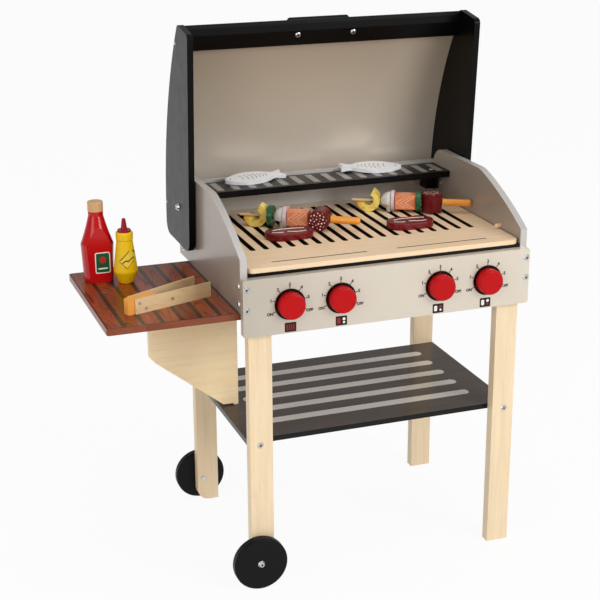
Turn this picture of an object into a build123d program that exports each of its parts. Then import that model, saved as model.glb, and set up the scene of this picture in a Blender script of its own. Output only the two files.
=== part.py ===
"""Toy barbecue grill on four legs, with a hinged lid, turning knobs, two wheels,
a fixed side table, wooden bottles, tongs, fish, steaks and skewers.

Millimetres, +Z up. The pieces are modelled in the cabinet's frame: X = 0 at the
middle of the cabinet, Y = 0 at the face of the front panel, Z = 0 on the floor.
At the end they are moved together, so that the origin is the middle of the
whole object's footprint.
"""
from build123d import *
from math import atan2, cos, degrees, sin
import os

# Cabinet
cabinet_width = 385.0
body_depth = 285.0
front_panel_thickness = 10.0
front_panel_height = 73.0
front_panel_top = 417.0
front_panel_corner = 3.0
side_thickness = 9.0
side_bottom = 372.0
side_top = 493.0
side_front_height = 440.0
side_slope_middle = (67.0, 470.0)
side_slope_end = 130.0
side_slope_blend = 60.0
side_back_corner = 28.0
back_panel_thickness = 9.0
back_panel_top = 473.0

# Legs
leg_width = 30.0
leg_thickness = 14.0
wheel_leg_lift = 2.0
wheel_leg_corner = 16.0

# Shelf
shelf_top = 199.0
shelf_thickness = 7.0

# Grate, its black tray and the wooden pegs that hold it down
grate_top = 427.0
grate_thickness = 6.0
grate_corner = 9.0
grate_side_gap = 1.5
grate_end_gap = 1.0
slot_count = 18
slot_pitch = 17.8
slot_width = 7.6
slot_start = 83.0
slot_end = body_depth - 27.0
groove_width = 3.6
groove_depth = 2.0
groove_length = 127.0
groove_middle = 83.0
groove_from_front = 20.0
tray_thickness = 6.0
peg_radius = 3.0
peg_reach = 7.0
peg_depth = 4.5
peg_y = 66.7
peg_clearance = 0.3

# Upper rack
rack_front = body_depth - 65.5
rack_bottom = 461.0
rack_thickness = 8.5
cleat_width = 19.5
cleat_height = 24.0
cleat_depth = 21.0
plug_at = (cabinet_width / 2 - 30.0, body_depth - 48.0)
rack_gap = 0.5
dowel_radius = 3.0
dowel_depth = 12.0

# Lid, drawn open, which is how it rests
pivot_y = body_depth - 36.0
pivot_z = 447.0
lid_side_gap = 2.0
lid_side_thickness = 8.0
lid_front_low = (body_depth - 84.5, 395.3)
lid_front_high = (body_depth - 105.0, 683.5)
lid_top_back = (body_depth - 58.5, 691.5)
lid_back_bulge = (body_depth - 28.0, 643.5)
lid_back_knee = (body_depth + 27.3, 465.0)
lid_back_low = (body_depth + 30.3, 396.5)
lid_front_low_round = 16.0
lid_front_high_round = 7.0
lid_top_back_round = 6.0
lid_back_low_round = 17.0
skin_inset = 1.0
skin_thickness = 5.0
skin_start_y = body_depth - 62.0
skin_end_z = 420.0
rail_thickness = 6.0
rail_low_z = 655.0

# Lid handle
handle_spacing = 78.0
handle_bar_radius = 5.5
handle_bar_length = 88.0
handle_bar_round = 4.4
handle_stand_off = 20.0
handle_post_size = 9.0
handle_post_corner = 2.0
handle_share = 0.059
handle_tilt = 13.5

# Lid pivots
bolt_radius = 3.0
bolt_head_radius = 5.2
bolt_head_height = 3.2
bolt_nut_radius = 5.5
bolt_nut_height = 4.0
pivot_washer_radius = 9.0
running_clearance = 0.06
side_play = 0.1

# Knobs
knob_x = (-133.0, -66.8, 66.8, 133.0)
knob_z = 381.2
knob_radius = 16.5
knob_height = 12.5
knob_round = 3.0
knob_gap = 0.3
bezel_radius = 19.7
bezel_thickness = 1.0
spindle_radius = 4.0
spindle_tail = 5.0
clip_radius = 7.0
clip_thickness = 1.0
clip_groove_depth = 1.0
clip_opening = 4.0

# Wheels
wheel_radius = 35.5
wheel_thickness = 12.0
wheel_round = 2.2
wheel_outset = 6.5
wheel_washer_radius = 7.0
wheel_washer_thickness = 1.0
axle_radius = 2.5
axle_head_radius = 4.8
axle_head_height = 2.6
axle_nut_radius = 3.8
axle_nut_height = 1.6

# Side table
table_left = -(cabinet_width / 2 + 163.2)
table_front = 14.0
table_back = body_depth - 41.0
table_thickness = 8.5
table_corner = 4.0
tongue_right = -(cabinet_width / 2 - 35.5)
tongue_gap = 0.3
bracket_thickness = 10.0
bracket_middle_y = table_back - 100.0
bracket_left = -(cabinet_width / 2 + 83.5)
bracket_left_height = 280.0
bracket_chamfer = (8.0, 9.0)
bracket_foot_left = -(cabinet_width / 2 - 14.0)
bracket_step_x = -(cabinet_width / 2 - 28.5)
bracket_step = 2.0
mortise_depth = 3.0
bracket_right = -(cabinet_width / 2 - 34.5)
bracket_dowel_x = (-(cabinet_width / 2 + 52.5), -(cabinet_width / 2 - 2.5))

# Screws
# Head radius, head's top radius, head height, shank radius
wood_screw_sizes = (4.2, 3.0, 1.5, 1.7)
lid_screw_sizes = (2.6, 1.2, 1.0, 1.2)
hole_clearance = 0.03
seat_gap = 0.05
panel_screw_length = 24.0
leg_screw_length = 22.0
shelf_screw_length = 26.0
lid_screw_length = 20.0
front_screw_z = (378.6, 405.0)
back_screw_z = (390.0, 455.0)
leg_screw_z = (383.0, 405.5)
table_screw_y = (table_front + 46.0, table_back - 64.0, table_back - 19.0)
shelf_screw_offset = 1.5
lid_screw_places = (0.09, 0.86)

# Food and tools on the grill
rest_gap = 0.3
flat_gap = 0.1
fish_length = 90.0
fish_width = 37.0
fish_y = body_depth - 23.0
fish_x = (-91.0, 80.0)
fish_angles = (8.0, 168.0)
fish_gap = 0.45
fish_thickness = 5.0
fish_tail = 17.0
steak_length = 64.0
steak_width = 36.0
steak_thickness = 9.0
steak_waist = 3.0
steak_places = ((-(cabinet_width / 2 - 103.5), body_depth - 159.0),
                (cabinet_width / 2 - 115.5, body_depth - 168.0))
skewer_tips = ((-(cabinet_width / 2 - 61.6), body_depth - 81.0),
               (cabinet_width / 2 - 156.0, body_depth - 64.0))
skewer_angles = (-33.5, -28.0)
stick_radius = 1.8
stick_clearance = 0.05
handle_length = 38.7
handle_radius = 4.8
handle_flare_radius = 5.4
handle_flare_length = 5.0
topping_radius = 14.5
topping_gap = 0.8
shrimp_radius = 16.0
shrimp_inner_radius = 7.5
shrimp_width = 15.0
shrimp_tail_drop = 2.2
shrimp_head_angle = 65.0
first_topping = 7.0
cucumber_thickness = 6.5
cucumber_radius = 14.0
mushroom_cap_radius = 13.5
mushroom_cap_height = 16.0
mushroom_cap_top = 13.0
mushroom_stem_radius = 6.0
onion_thickness = 4.5
salmon_length = 28.0
salmon_size = 20.0
salami_radius = 14.0
salami_length = 25.0

# Bottles
ketchup_at = (table_left + 32.1, table_back - 39.0)
ketchup_base_radius = 19.0
ketchup_wide_radius = 21.3
ketchup_wide_height = 50.0
ketchup_neck_radius = 9.7
ketchup_shoulder_middle = (14.3, 70.0)
ketchup_neck_height = 87.0
ketchup_height = 93.0
ketchup_flat = 13.5
ketchup_cap_radius = 10.0
ketchup_cap_height = 12.5
mustard_at = (table_left + 63.5, table_back - 60.0)
mustard_base_radius = 9.2
mustard_wide_radius = 15.9
mustard_wide_height = 15.5
mustard_neck_radius = 10.4
mustard_neck_height = 56.5
mustard_ring_radius = 11.1
mustard_height = 67.5
nozzle_flange_radius = 8.6
nozzle_flange_height = 2.8
nozzle_base_radius = 4.2
nozzle_tip_radius = 2.3
nozzle_height = 17.5

# Tongs
tongs_at = (table_left + 33.2, table_front + 43.5)
tongs_angle = 23.0
tongs_spread = 4.6
tongs_height = 19.0
tongs_block_length = 40.0
tongs_block_end_width = 11.0
blade_thickness = 2.2
blade_length = 110.0
blade_start = 9.0
rivet_radius = 1.3
rivet_head_radius = 1.9
rivet_head_height = 0.6
rivet_places = ((15.0, 13.5), (24.0, 5.5))
stop_peg_at = 62.0

# Values that follow from the sizes above
half_width = cabinet_width / 2
side_inner = half_width - side_thickness
back_inner = body_depth - back_panel_thickness
front_leg_front = front_panel_thickness
rear_leg_front = back_inner - leg_thickness
leg_inner = side_inner - leg_width
tray_top = grate_top - grate_thickness
leg_top = tray_top - tray_thickness
front_panel_bottom = front_panel_top - front_panel_height
rack_top = rack_bottom + rack_thickness
table_top = side_bottom
table_bottom = table_top - table_thickness
lid_inner = half_width + lid_side_gap
lid_outer = lid_inner + lid_side_thickness
wheel_x = -(side_inner - leg_width / 2 + wheel_outset)
wheel_z = wheel_radius
shelf_front = front_leg_front + leg_thickness
skewer_z = grate_top + rest_gap + topping_radius


def block(x0, x1, y0, y1, z0, z1):
    """A box between two corners."""
    return Pos((x0 + x1) / 2, (y0 + y1) / 2, (z0 + z1) / 2) * Box(
        abs(x1 - x0), abs(y1 - y0), abs(z1 - z0)
    )


def rod(start, direction, length, radius):
    """A cylinder from a point along a direction."""
    plane = Plane(origin=start, z_dir=direction)
    return extrude(plane * Circle(radius), amount=length)


def yz_plate(sketch, x0, x1):
    """A board whose outline lies in the YZ plane."""
    return extrude(Plane.YZ.offset(x0) * sketch, amount=x1 - x0)


def xz_plate(sketch, y0, y1):
    """A board whose outline lies in the XZ plane."""
    return extrude(Plane.XZ.offset(-y0) * sketch, amount=y0 - y1)


def xy_plate(sketch, z0, z1):
    """A flat board whose outline lies in the XY plane."""
    return extrude(Plane.XY.offset(z0) * sketch, amount=z1 - z0)


def outline(edges, rounds=()):
    """A face from its edges, with the corners nearest the given points rounded."""
    face = make_face(edges)
    for x, y, radius in rounds:
        corner = face.vertices().sort_by_distance(Vector(x, y, 0))[0]
        face = fillet(corner, radius)
    return face


def polygon(points, rounds=()):
    """A straight-sided outline with chosen corners rounded."""
    return outline(Polyline(*points, close=True), rounds)


def screw(at, direction, length, clearance=0.0, small=False):
    """A screw with its head on the surface, or the hole for it if it has a clearance."""
    head, top, height, radius = lid_screw_sizes if small else wood_screw_sizes
    way = Vector(*direction).normalized()
    seat = Plane(origin=at, z_dir=-way)
    cap = loft([seat * Circle(head), seat.offset(height) * Circle(top)])
    return cap + rod(at, way, length + clearance, radius + clearance)


def group(solids):
    """Separate solids kept together in one piece of the list."""
    return Compound(children=[s.solid() for s in solids])


def front_panel():
    """The control panel, with four holes for the knob spindles."""
    low, high = front_panel_bottom, front_panel_top
    sketch = Pos(0, (low + high) / 2) * RectangleRounded(
        cabinet_width, front_panel_height, front_panel_corner
    )
    for x in knob_x:
        sketch -= Pos(x, knob_z) * Circle(spindle_radius + running_clearance)
    return xz_plate(sketch, 0, front_panel_thickness)


def side_outline():
    """The cabinet's side: a rising front edge that blends into a flat top."""
    front = front_panel_thickness
    slope = ThreePointArc(
        (front, side_front_height), side_slope_middle, (side_slope_end, side_top)
    )
    edges = [
        Line((front, side_bottom), (front, side_front_height)),
        slope,
        Line((side_slope_end, side_top), (back_inner, side_top)),
        Line((back_inner, side_top), (back_inner, side_bottom)),
        Line((back_inner, side_bottom), (front, side_bottom)),
    ]
    return outline(edges, [
        (side_slope_end, side_top, side_slope_blend),
        (back_inner, side_top, side_back_corner),
    ])


def side_panel(side):
    """A side panel, bored for its lid pivot and its grate peg."""
    inner, outer = sorted((side * side_inner, side * half_width))
    panel = yz_plate(side_outline(), inner, outer)
    panel -= rod((inner, pivot_y, pivot_z), (1, 0, 0), side_thickness, bolt_radius)
    return panel - grate_peg(side)


def back_panel():
    return block(-half_width, half_width, back_inner, body_depth, side_bottom, back_panel_top)


def leg(side, front):
    """A leg board. The left pair stops above the floor with a rounded outer corner."""
    inner, outer = side * leg_inner, side * side_inner
    bottom = wheel_leg_lift if side < 0 else 0.0
    rounds = [(outer, bottom, wheel_leg_corner)] if side < 0 else []
    sketch = polygon(
        [(inner, bottom), (outer, bottom), (outer, leg_top), (inner, leg_top)], rounds
    )
    y0 = front_leg_front if front else rear_leg_front
    board = xz_plate(sketch, y0, y0 + leg_thickness)
    if side < 0:
        board -= rod((wheel_x, y0, wheel_z), (0, 1, 0), leg_thickness, axle_radius)
    return board


def shelf():
    """The lower shelf between the legs, with a mortise for the bracket's foot."""
    board = block(-side_inner, side_inner, shelf_front, rear_leg_front,
                  shelf_top - shelf_thickness, shelf_top)
    return board - block(bracket_step_x, bracket_right,
                         bracket_middle_y - bracket_thickness / 2,
                         bracket_middle_y + bracket_thickness / 2,
                         shelf_top - mortise_depth, shelf_top)


def fire_tray():
    """The black board under the grate, carried on the four legs."""
    return block(-side_inner + rack_gap, side_inner - rack_gap,
                 front_panel_thickness + grate_end_gap, back_inner - rack_gap,
                 leg_top, tray_top)


def grate():
    """The wooden grate: rounded corners, a row of through slots, two routed grooves."""
    half = side_inner - grate_side_gap
    front = front_panel_thickness + grate_end_gap
    back = back_inner - grate_end_gap
    sketch = Pos(0, (front + back) / 2) * RectangleRounded(2 * half, back - front, grate_corner)
    slot = SlotOverall(slot_end - slot_start, slot_width, rotation=90)
    for i in range(slot_count):
        x = (i - (slot_count - 1) / 2) * slot_pitch
        sketch -= Pos(x, (slot_start + slot_end) / 2) * slot
    board = xy_plate(sketch, tray_top, grate_top)
    groove = SlotOverall(groove_length, groove_width)
    for side in (-1, 1):
        line = Pos(side * groove_middle, front + groove_from_front) * groove
        board -= xy_plate(line, grate_top - groove_depth, grate_top)
    return board


def grate_peg(side):
    """A round-nosed dowel that stands out of the side panel just over the grate."""
    z = grate_top + peg_clearance + peg_radius
    start = (side * (side_inner + peg_depth), peg_y, z)
    peg = rod(start, (-side, 0, 0), peg_depth + peg_reach, peg_radius)
    nose = peg.edges().filter_by(GeomType.CIRCLE).sort_by(lambda e: abs(e.center().X))[0]
    return fillet(nose, peg_radius * 0.6)


def rack_board():
    """The black upper rack between the side panels."""
    half = side_inner - rack_gap
    return block(-half, half, rack_front, back_inner - rack_gap, rack_bottom, rack_top)


def rack_cleat(side):
    """The block under one end of the rack, against the side panel."""
    inner, outer = sorted((side * (side_inner - cleat_width), side * side_inner))
    return block(inner, outer, back_inner - cleat_depth, back_inner,
                 rack_bottom - cleat_height, rack_bottom)


def rack_dowel(side):
    """A dowel from inside the rack board down into its cleat."""
    x = side * (side_inner - cleat_width / 2)
    y = back_inner - cleat_depth / 2
    start = rack_bottom + rack_thickness / 2
    return rod((x, y, start), (0, 0, -1), rack_thickness / 2 + dowel_depth, dowel_radius)


def rack_plug():
    """The pale plug that shows near the rack's right end."""
    return rod((*plug_at, rack_top), (0, 0, -1), rack_thickness, dowel_radius)


def bracket_dowel(x):
    """A dowel between the bracket's top edge and the table."""
    return rod((x, bracket_middle_y, table_bottom + table_thickness / 2), (0, 0, -1),
               dowel_depth + table_thickness / 2, dowel_radius)


def lid_back():
    """The lid's back from the top edge down: two arcs that flow into each other."""
    upper = ThreePointArc(lid_top_back, lid_back_bulge, lid_back_knee)
    return [upper, TangentArc(lid_back_knee, lid_back_low, tangent=upper % 1)]


def lid_outline():
    """The lid's side, standing open: straight front edge, curved back, round corners."""
    edges = [
        Line(lid_front_low, lid_front_high),
        Line(lid_front_high, lid_top_back),
        *lid_back(),
        Line(lid_back_low, lid_front_low),
    ]
    return outline(edges, [
        (*lid_front_low, lid_front_low_round),
        (*lid_front_high, lid_front_high_round),
        (*lid_top_back, lid_top_back_round),
        (*lid_back_low, lid_back_low_round),
    ])


def lid_side(side):
    """A lid side that turns on its pivot bolt."""
    inner, outer = sorted((side * lid_inner, side * lid_outer))
    board = yz_plate(lid_outline(), inner, outer)
    return board - rod((inner, pivot_y, pivot_z), (1, 0, 0), lid_side_thickness,
                       bolt_radius + running_clearance)


def lid_band(depth, thickness, low):
    """A strip of even thickness inside the lid's outline, along its back."""
    shape = lid_outline()
    outer = offset(shape, -depth)
    inner = offset(shape, -(depth + thickness))
    box = outline(Polyline((skin_start_y, low), (lid_back_low[0], low),
                           (lid_back_low[0], lid_top_back[1]),
                           (skin_start_y, lid_top_back[1]), close=True))
    return yz_plate((outer - inner) & box, -lid_inner, lid_inner)


def lid_back_point(share, depth):
    """A point (Y, Z) at a share of the lid's back curve, some depth inside it."""
    curve = Wire(lid_back())
    spot, slope = curve @ share, curve % share
    return spot.X + depth * slope.Y, spot.Y - depth * slope.X


def handle_foot():
    """The plane on the lid's back under the handle, square to the curve."""
    foot, inside = lid_back_point(handle_share, 0), lid_back_point(handle_share, 1)
    out = (0, foot[0] - inside[0], foot[1] - inside[1])
    return Plane(origin=(0, *foot), x_dir=(1, 0, 0), z_dir=out)


def handle_frame():
    """The plane where the handle stands, turned down a little from square."""
    return handle_foot().rotated((-handle_tilt, 0, 0))


def handle_post(side, skin):
    """A block between the lid's skin and the handle bar."""
    frame = handle_frame()
    x = side * handle_spacing / 2
    foot = frame.offset(-skin_inset - skin_thickness) * (Pos(x, 0) * RectangleRounded(
        handle_post_size, handle_post_size, handle_post_corner))
    post = extrude(foot, amount=handle_stand_off + skin_inset + skin_thickness)
    return (post - skin - handle_bar()).solids().sort_by(lambda s: s.volume)[-1]


def handle_bar():
    """The round wooden bar across the two posts, with rounded ends."""
    frame = handle_frame()
    start = frame.from_local_coords((-handle_bar_length / 2, 0, handle_stand_off))
    bar = rod(start, (1, 0, 0), handle_bar_length, handle_bar_radius)
    return fillet(bar.edges().filter_by(GeomType.CIRCLE), handle_bar_round)


def lid_screws(clearance=0.0):
    """Small screws through the lid sides into the skin, and two into the handle posts."""
    screws = []
    for side in (-1, 1):
        for share in lid_screw_places:
            y, z = lid_back_point(share, skin_inset + skin_thickness / 2)
            at = (side * lid_outer, y, z)
            screws.append(screw(at, (-side, 0, 0), lid_screw_length, clearance, True))
    frame = handle_foot()
    depth = skin_inset + skin_thickness + rail_thickness + seat_gap
    for side in (-1, 1):
        at = frame.from_local_coords((side * handle_spacing / 2, 0, -depth))
        reach = depth + handle_stand_off / 2
        screws.append(screw(at, frame.z_dir, reach, clearance))
    return screws


def pivot_bolt(side):
    """A bolt from outside the lid through the side panel, with its nut inside."""
    out = side * (lid_outer + side_play)
    end = side * side_inner
    reach = abs(out - end)
    shank = rod((out, pivot_y, pivot_z), (-side, 0, 0), reach, bolt_radius)
    seat = Plane(origin=(out, pivot_y, pivot_z), z_dir=(side, 0, 0))
    head = loft([seat * Circle(bolt_head_radius),
                 seat.offset(bolt_head_height) * Circle(bolt_head_radius * 0.6)])
    inner = Plane(origin=(end, pivot_y, pivot_z), z_dir=(-side, 0, 0))
    nut = extrude(inner * RegularPolygon(bolt_nut_radius, 6), amount=bolt_nut_height)
    return shank + head + nut


def washer(at, direction, hole, radius, thickness):
    """A flat ring on a bolt."""
    seat = Plane(origin=at, z_dir=direction)
    return extrude(seat * (Circle(radius) - Circle(hole)), amount=thickness)


def washers():
    """Two spacers in the lid's pivots and one washer behind each wheel."""
    rings = [
        washer((side * half_width, pivot_y, pivot_z), (side, 0, 0), bolt_radius,
               pivot_washer_radius, lid_side_gap - side_play)
        for side in (-1, 1)
    ]
    for y, way in ((front_leg_front, -1), (back_inner, 1)):
        rings.append(washer((wheel_x, y, wheel_z), (0, way, 0), axle_radius,
                            wheel_washer_radius, wheel_washer_thickness))
    return rings


def knob(x):
    """A red knob and its spindle, turned in one, with a groove for the clip."""
    back = bezel_thickness + knob_gap
    profile = [
        (0, back + knob_height), (knob_radius, back + knob_height), (knob_radius, back),
        (spindle_radius, back), (spindle_radius, -clip_start()),
        (spindle_radius - clip_groove_depth, -clip_start()),
        (spindle_radius - clip_groove_depth, -clip_end()),
        (spindle_radius, -clip_end()),
        (spindle_radius, -(front_panel_thickness + spindle_tail)),
        (0, -(front_panel_thickness + spindle_tail)),
    ]
    face = polygon(profile, [(knob_radius, back + knob_height, knob_round)])
    turned = revolve(Plane.XZ * face, Axis.Z)
    return Location((x, 0, knob_z), (90, 0, 0)) * turned


def clip_start():
    """Where the clip groove starts behind the front panel's face."""
    return front_panel_thickness + 2 * side_play


def clip_end():
    return clip_start() + clip_thickness + 2 * side_play


def knob_clip(x):
    """A C-shaped clip in the spindle's groove behind the panel."""
    ring = Circle(clip_radius) - Circle(spindle_radius - clip_groove_depth + running_clearance)
    ring -= Pos(0, -clip_radius / 2) * Rectangle(clip_opening, clip_radius)
    y = clip_start() + side_play
    return xz_plate(Pos(x, knob_z) * ring, y, y + clip_thickness)


def bezel(x):
    """The thin black ring behind a knob."""
    ring = Circle(bezel_radius) - Circle(spindle_radius + running_clearance)
    return xz_plate(Pos(x, knob_z) * ring, -bezel_thickness, 0)


def wheel_start(front):
    """The Y of a wheel's inner face, and the way that it faces."""
    gap = wheel_washer_thickness + side_play
    return (front_leg_front - gap, -1) if front else (back_inner + gap, 1)


def wheel(front):
    """A wheel with softened edges that turns on its fixed axle."""
    y, way = wheel_start(front)
    disc = rod((wheel_x, y, wheel_z), (0, way, 0), wheel_thickness, wheel_radius)
    disc = fillet(disc.edges().filter_by(GeomType.CIRCLE), wheel_round)
    return disc - rod((wheel_x, y, wheel_z), (0, way, 0), wheel_thickness,
                      axle_radius + running_clearance)


def wheel_axle(front):
    """An axle bolt through wheel and leg, with a sleeve nut on the leg's far face."""
    y, way = wheel_start(front)
    leg_far = y - way * (wheel_washer_thickness + side_play + leg_thickness)
    out = y + way * (wheel_thickness + side_play)
    shank = rod((wheel_x, out, wheel_z), (0, -way, 0), abs(out - leg_far), axle_radius)
    seat = Plane(origin=(wheel_x, out, wheel_z), z_dir=(0, way, 0))
    head = loft([seat * Circle(axle_head_radius),
                 seat.offset(axle_head_height) * Circle(axle_head_radius * 0.6)])
    nut = rod((wheel_x, leg_far, wheel_z), (0, -way, 0), axle_nut_height, axle_nut_radius)
    return shank + head + nut


def side_table():
    """The table board: a wide top with a tongue that goes in between the legs."""
    top = [
        (table_left, table_front), (-side_inner, table_front),
        (-side_inner, shelf_front + tongue_gap), (tongue_right, shelf_front + tongue_gap),
        (tongue_right, table_back), (table_left, table_back),
    ]
    sketch = polygon(top, [(table_left, table_front, table_corner),
                           (table_left, table_back, table_corner)])
    return xy_plate(sketch, table_bottom, table_top)


def table_bracket():
    """The board that stands on the shelf and carries the table from below."""
    foot = shelf_top + bracket_step
    run, rise = bracket_chamfer
    sketch = polygon([
        (bracket_left, table_bottom), (bracket_left, bracket_left_height),
        (bracket_left + run, bracket_left_height - rise), (bracket_foot_left, foot),
        (bracket_step_x, foot), (bracket_step_x, shelf_top - mortise_depth),
        (bracket_right, shelf_top - mortise_depth), (bracket_right, table_bottom),
    ])
    half = bracket_thickness / 2
    return xz_plate(sketch, bracket_middle_y - half, bracket_middle_y + half)


def wood_screws(clearance=0.0):
    """The cabinet's equal screws: panels, legs, shelf and table."""
    places = []
    edge_x = half_width - side_thickness / 2
    leg_middles = (front_leg_front + leg_thickness / 2, rear_leg_front + leg_thickness / 2)
    shelf_z = shelf_top - shelf_thickness / 2
    for side in (-1, 1):
        for z in front_screw_z:
            places.append(((side * edge_x, 0, z), (0, 1, 0), panel_screw_length))
        for z in back_screw_z:
            places.append(((side * edge_x, body_depth, z), (0, -1, 0), panel_screw_length))
        for y in leg_middles:
            for z in leg_screw_z:
                places.append(((side * half_width, y, z), (-side, 0, 0), leg_screw_length))
        shelf_x = side * (side_inner - leg_width / 2 + shelf_screw_offset)
        places.append(((shelf_x, front_leg_front, shelf_z), (0, 1, 0), shelf_screw_length))
        places.append(((shelf_x, back_inner, shelf_z), (0, -1, 0), shelf_screw_length))
    for y in table_screw_y:
        places.append(((-edge_x, y, table_bottom), (0, 0, 1), leg_screw_length))
    return [screw(at, way, length, clearance) for at, way, length in places]


def fish_plate():
    """A flat wooden fish with its nose towards -X and its tail towards +X."""
    nose = -fish_length / 2
    root = fish_length / 2 - fish_tail
    narrow = fish_width * 0.14
    tip = fish_length / 2
    spread = fish_width * 0.36
    back = ThreePointArc((nose, 0), (nose * 0.1, fish_width / 2), (root, narrow))
    belly = ThreePointArc((nose, 0), (nose * 0.1, -fish_width / 2), (root, -narrow))
    edges = [
        back, Line((root, narrow), (tip, spread)),
        Line((tip, spread), (tip - fish_tail * 0.35, 0)),
        Line((tip - fish_tail * 0.35, 0), (tip, -spread)),
        Line((tip, -spread), (root, -narrow)), belly,
    ]
    return outline(edges, [(nose, 0, 3.0), (tip, spread, 1.6), (tip, -spread, 1.6),
                           (root, narrow, 6.0), (root, -narrow, 6.0)])


def fish(x, angle):
    """A fish on the upper rack whose far edge leans on the back panel's top edge."""
    front = fish_y - fish_width / 2
    tilt = atan2(back_panel_top - rack_top, back_inner - front)
    low = rack_top + fish_gap + sin(tilt) * fish_width / 2
    lean = Location((x, front + cos(tilt) * fish_width / 2, low), (degrees(tilt), 0, 0))
    return lean * Rot(0, 0, angle) * xy_plate(fish_plate(), 0, fish_thickness)


def steak(x, y):
    """A thick steak with a slight waist and a softened rim."""
    end = steak_width / 2
    reach = steak_length / 2 - end
    waist = end - steak_waist
    edges = [
        ThreePointArc((-reach, end), (0, waist), (reach, end)),
        ThreePointArc((reach, end), (reach + end, 0), (reach, -end)),
        Line((reach, -end), (-reach, -end)),
        ThreePointArc((-reach, -end), (-reach - end, 0), (-reach, end)),
    ]
    slab = xy_plate(make_face(edges), 0, steak_thickness)
    slab = fillet(slab.faces().sort_by(Axis.Z)[-1].edges(), 1.5)
    return Pos(x, y, grate_top + flat_gap) * slab


def across(radius, start, length):
    """A cylinder along the skewer."""
    return rod((start, 0, 0), (1, 0, 0), length, radius)


def skewer_stick(grip):
    """The stick with its turned handle, which starts at the grip."""
    end = grip + handle_length
    profile = [
        (0, 0), (0, stick_radius), (grip, stick_radius), (grip, handle_flare_radius),
        (grip + handle_flare_length, handle_radius),
        (end, handle_radius), (end, 0),
    ]
    face = polygon(profile, [(end, handle_radius, handle_radius * 0.8)])
    return revolve(face, Axis.X)


def shrimp(start):
    """A curled shrimp: the stick passes over its tail and through its body."""
    far = 2 * shrimp_radius
    rise = shrimp_radius - topping_radius
    tail = -(shrimp_tail_drop + rise)
    head = Vector(far, 0).rotate(Axis.Z, shrimp_head_angle)
    ring = Circle(shrimp_radius) - Circle(shrimp_inner_radius)
    cut = polygon([(0, tail), (-far, tail), (-far, far), (head.X, far), (head.X, head.Y),
                   (0, 0)])
    curl = Pos(start + shrimp_radius, rise) * (ring - cut)
    return xz_plate(curl, -shrimp_width / 2, shrimp_width / 2), far


def mushroom(start):
    """Half a mushroom: its stem stands on the grate, its cut face looks to the handle."""
    cap, stem, foot = mushroom_cap_radius, mushroom_stem_radius, -topping_radius
    gill = mushroom_cap_top - mushroom_cap_height
    edges = [
        Line((0, foot), (stem, foot)), Line((stem, foot), (stem, gill)),
        Line((stem, gill), (cap, gill)),
        ThreePointArc((cap, gill), (cap * 0.75, gill + mushroom_cap_height * 0.7),
                      (0, mushroom_cap_top)),
        Line((0, mushroom_cap_top), (0, foot)),
    ]
    whole = revolve(Plane.XZ * make_face(edges), Axis.Z)
    half = whole & block(-cap, 0, -cap, cap, foot, mushroom_cap_top)
    return Pos(start + cap, 0, 0) * half, cap


def salami(start, upright):
    """A salami piece that the stick crosses, on its side or standing up."""
    way = (0, 0, 1) if upright else (0, 1, 0)
    at = Vector(start + salami_radius, 0, 0) - Vector(*way) * (salami_length / 2)
    return rod(at, way, salami_length, salami_radius), 2 * salami_radius


def skewer(number, order, upright):
    """One skewer's pieces by name, threaded on the stick in the given order."""
    pieces, rings, place = {}, [], first_topping
    for name in order:
        if name == "shrimp":
            pieces[name], length = shrimp(place)
        elif name == "mushroom":
            pieces[name], length = mushroom(place)
        elif name == "salami":
            pieces[name], length = salami(place, upright)
        elif name == "salmon":
            length = salmon_length
            shape = block(place, place + length, -salmon_size / 2, salmon_size / 2,
                          -salmon_size / 2, salmon_size / 2)
            pieces[name] = fillet(shape.edges().filter_by(Axis.X), 1.5)
        else:
            length = cucumber_thickness if name == "cucumber" else onion_thickness
            radius = cucumber_radius if name == "cucumber" else topping_radius
            rings.append(across(radius, place, length))
        place += length + topping_gap
    hole = across(stick_radius + stick_clearance, -1, place + 1)
    pieces = {name: shape - hole for name, shape in pieces.items()}
    pieces["rings"] = group([disc - hole for disc in rings])
    pieces["stick"] = skewer_stick(place)
    spot = Location((*skewer_tips[number - 1], skewer_z), (0, 0, skewer_angles[number - 1]))
    return {f"skewer_{number}_{name}": spot * shape for name, shape in pieces.items()}


def ketchup_bottle():
    """A turned bottle with a drawn-in shoulder, its front and back cut flat."""
    wide, neck = ketchup_wide_radius, ketchup_neck_radius
    edges = [
        Line((0, 0), (ketchup_base_radius, 0)),
        Line((ketchup_base_radius, 0), (wide, ketchup_wide_height)),
        ThreePointArc((wide, ketchup_wide_height), ketchup_shoulder_middle,
                      (neck, ketchup_neck_height)),
        Line((neck, ketchup_neck_height), (neck, ketchup_height)),
        Line((neck, ketchup_height), (0, ketchup_height)),
        Line((0, ketchup_height), (0, 0)),
    ]
    face = outline(edges, [(ketchup_base_radius, 0, 2.0), (wide, ketchup_wide_height, 6.0)])
    turned = revolve(Plane.XZ * face, Axis.Z)
    flat = block(-wide, wide, -ketchup_flat, ketchup_flat, 0, ketchup_height)
    return Pos(*ketchup_at, table_top + flat_gap) * (turned & flat)


def ketchup_cap():
    cap = rod((*ketchup_at, table_top + flat_gap + ketchup_height), (0, 0, 1),
              ketchup_cap_height, ketchup_cap_radius)
    return fillet(cap.edges().filter_by(GeomType.CIRCLE).sort_by(Axis.Z)[-1], 1.5)


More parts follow.
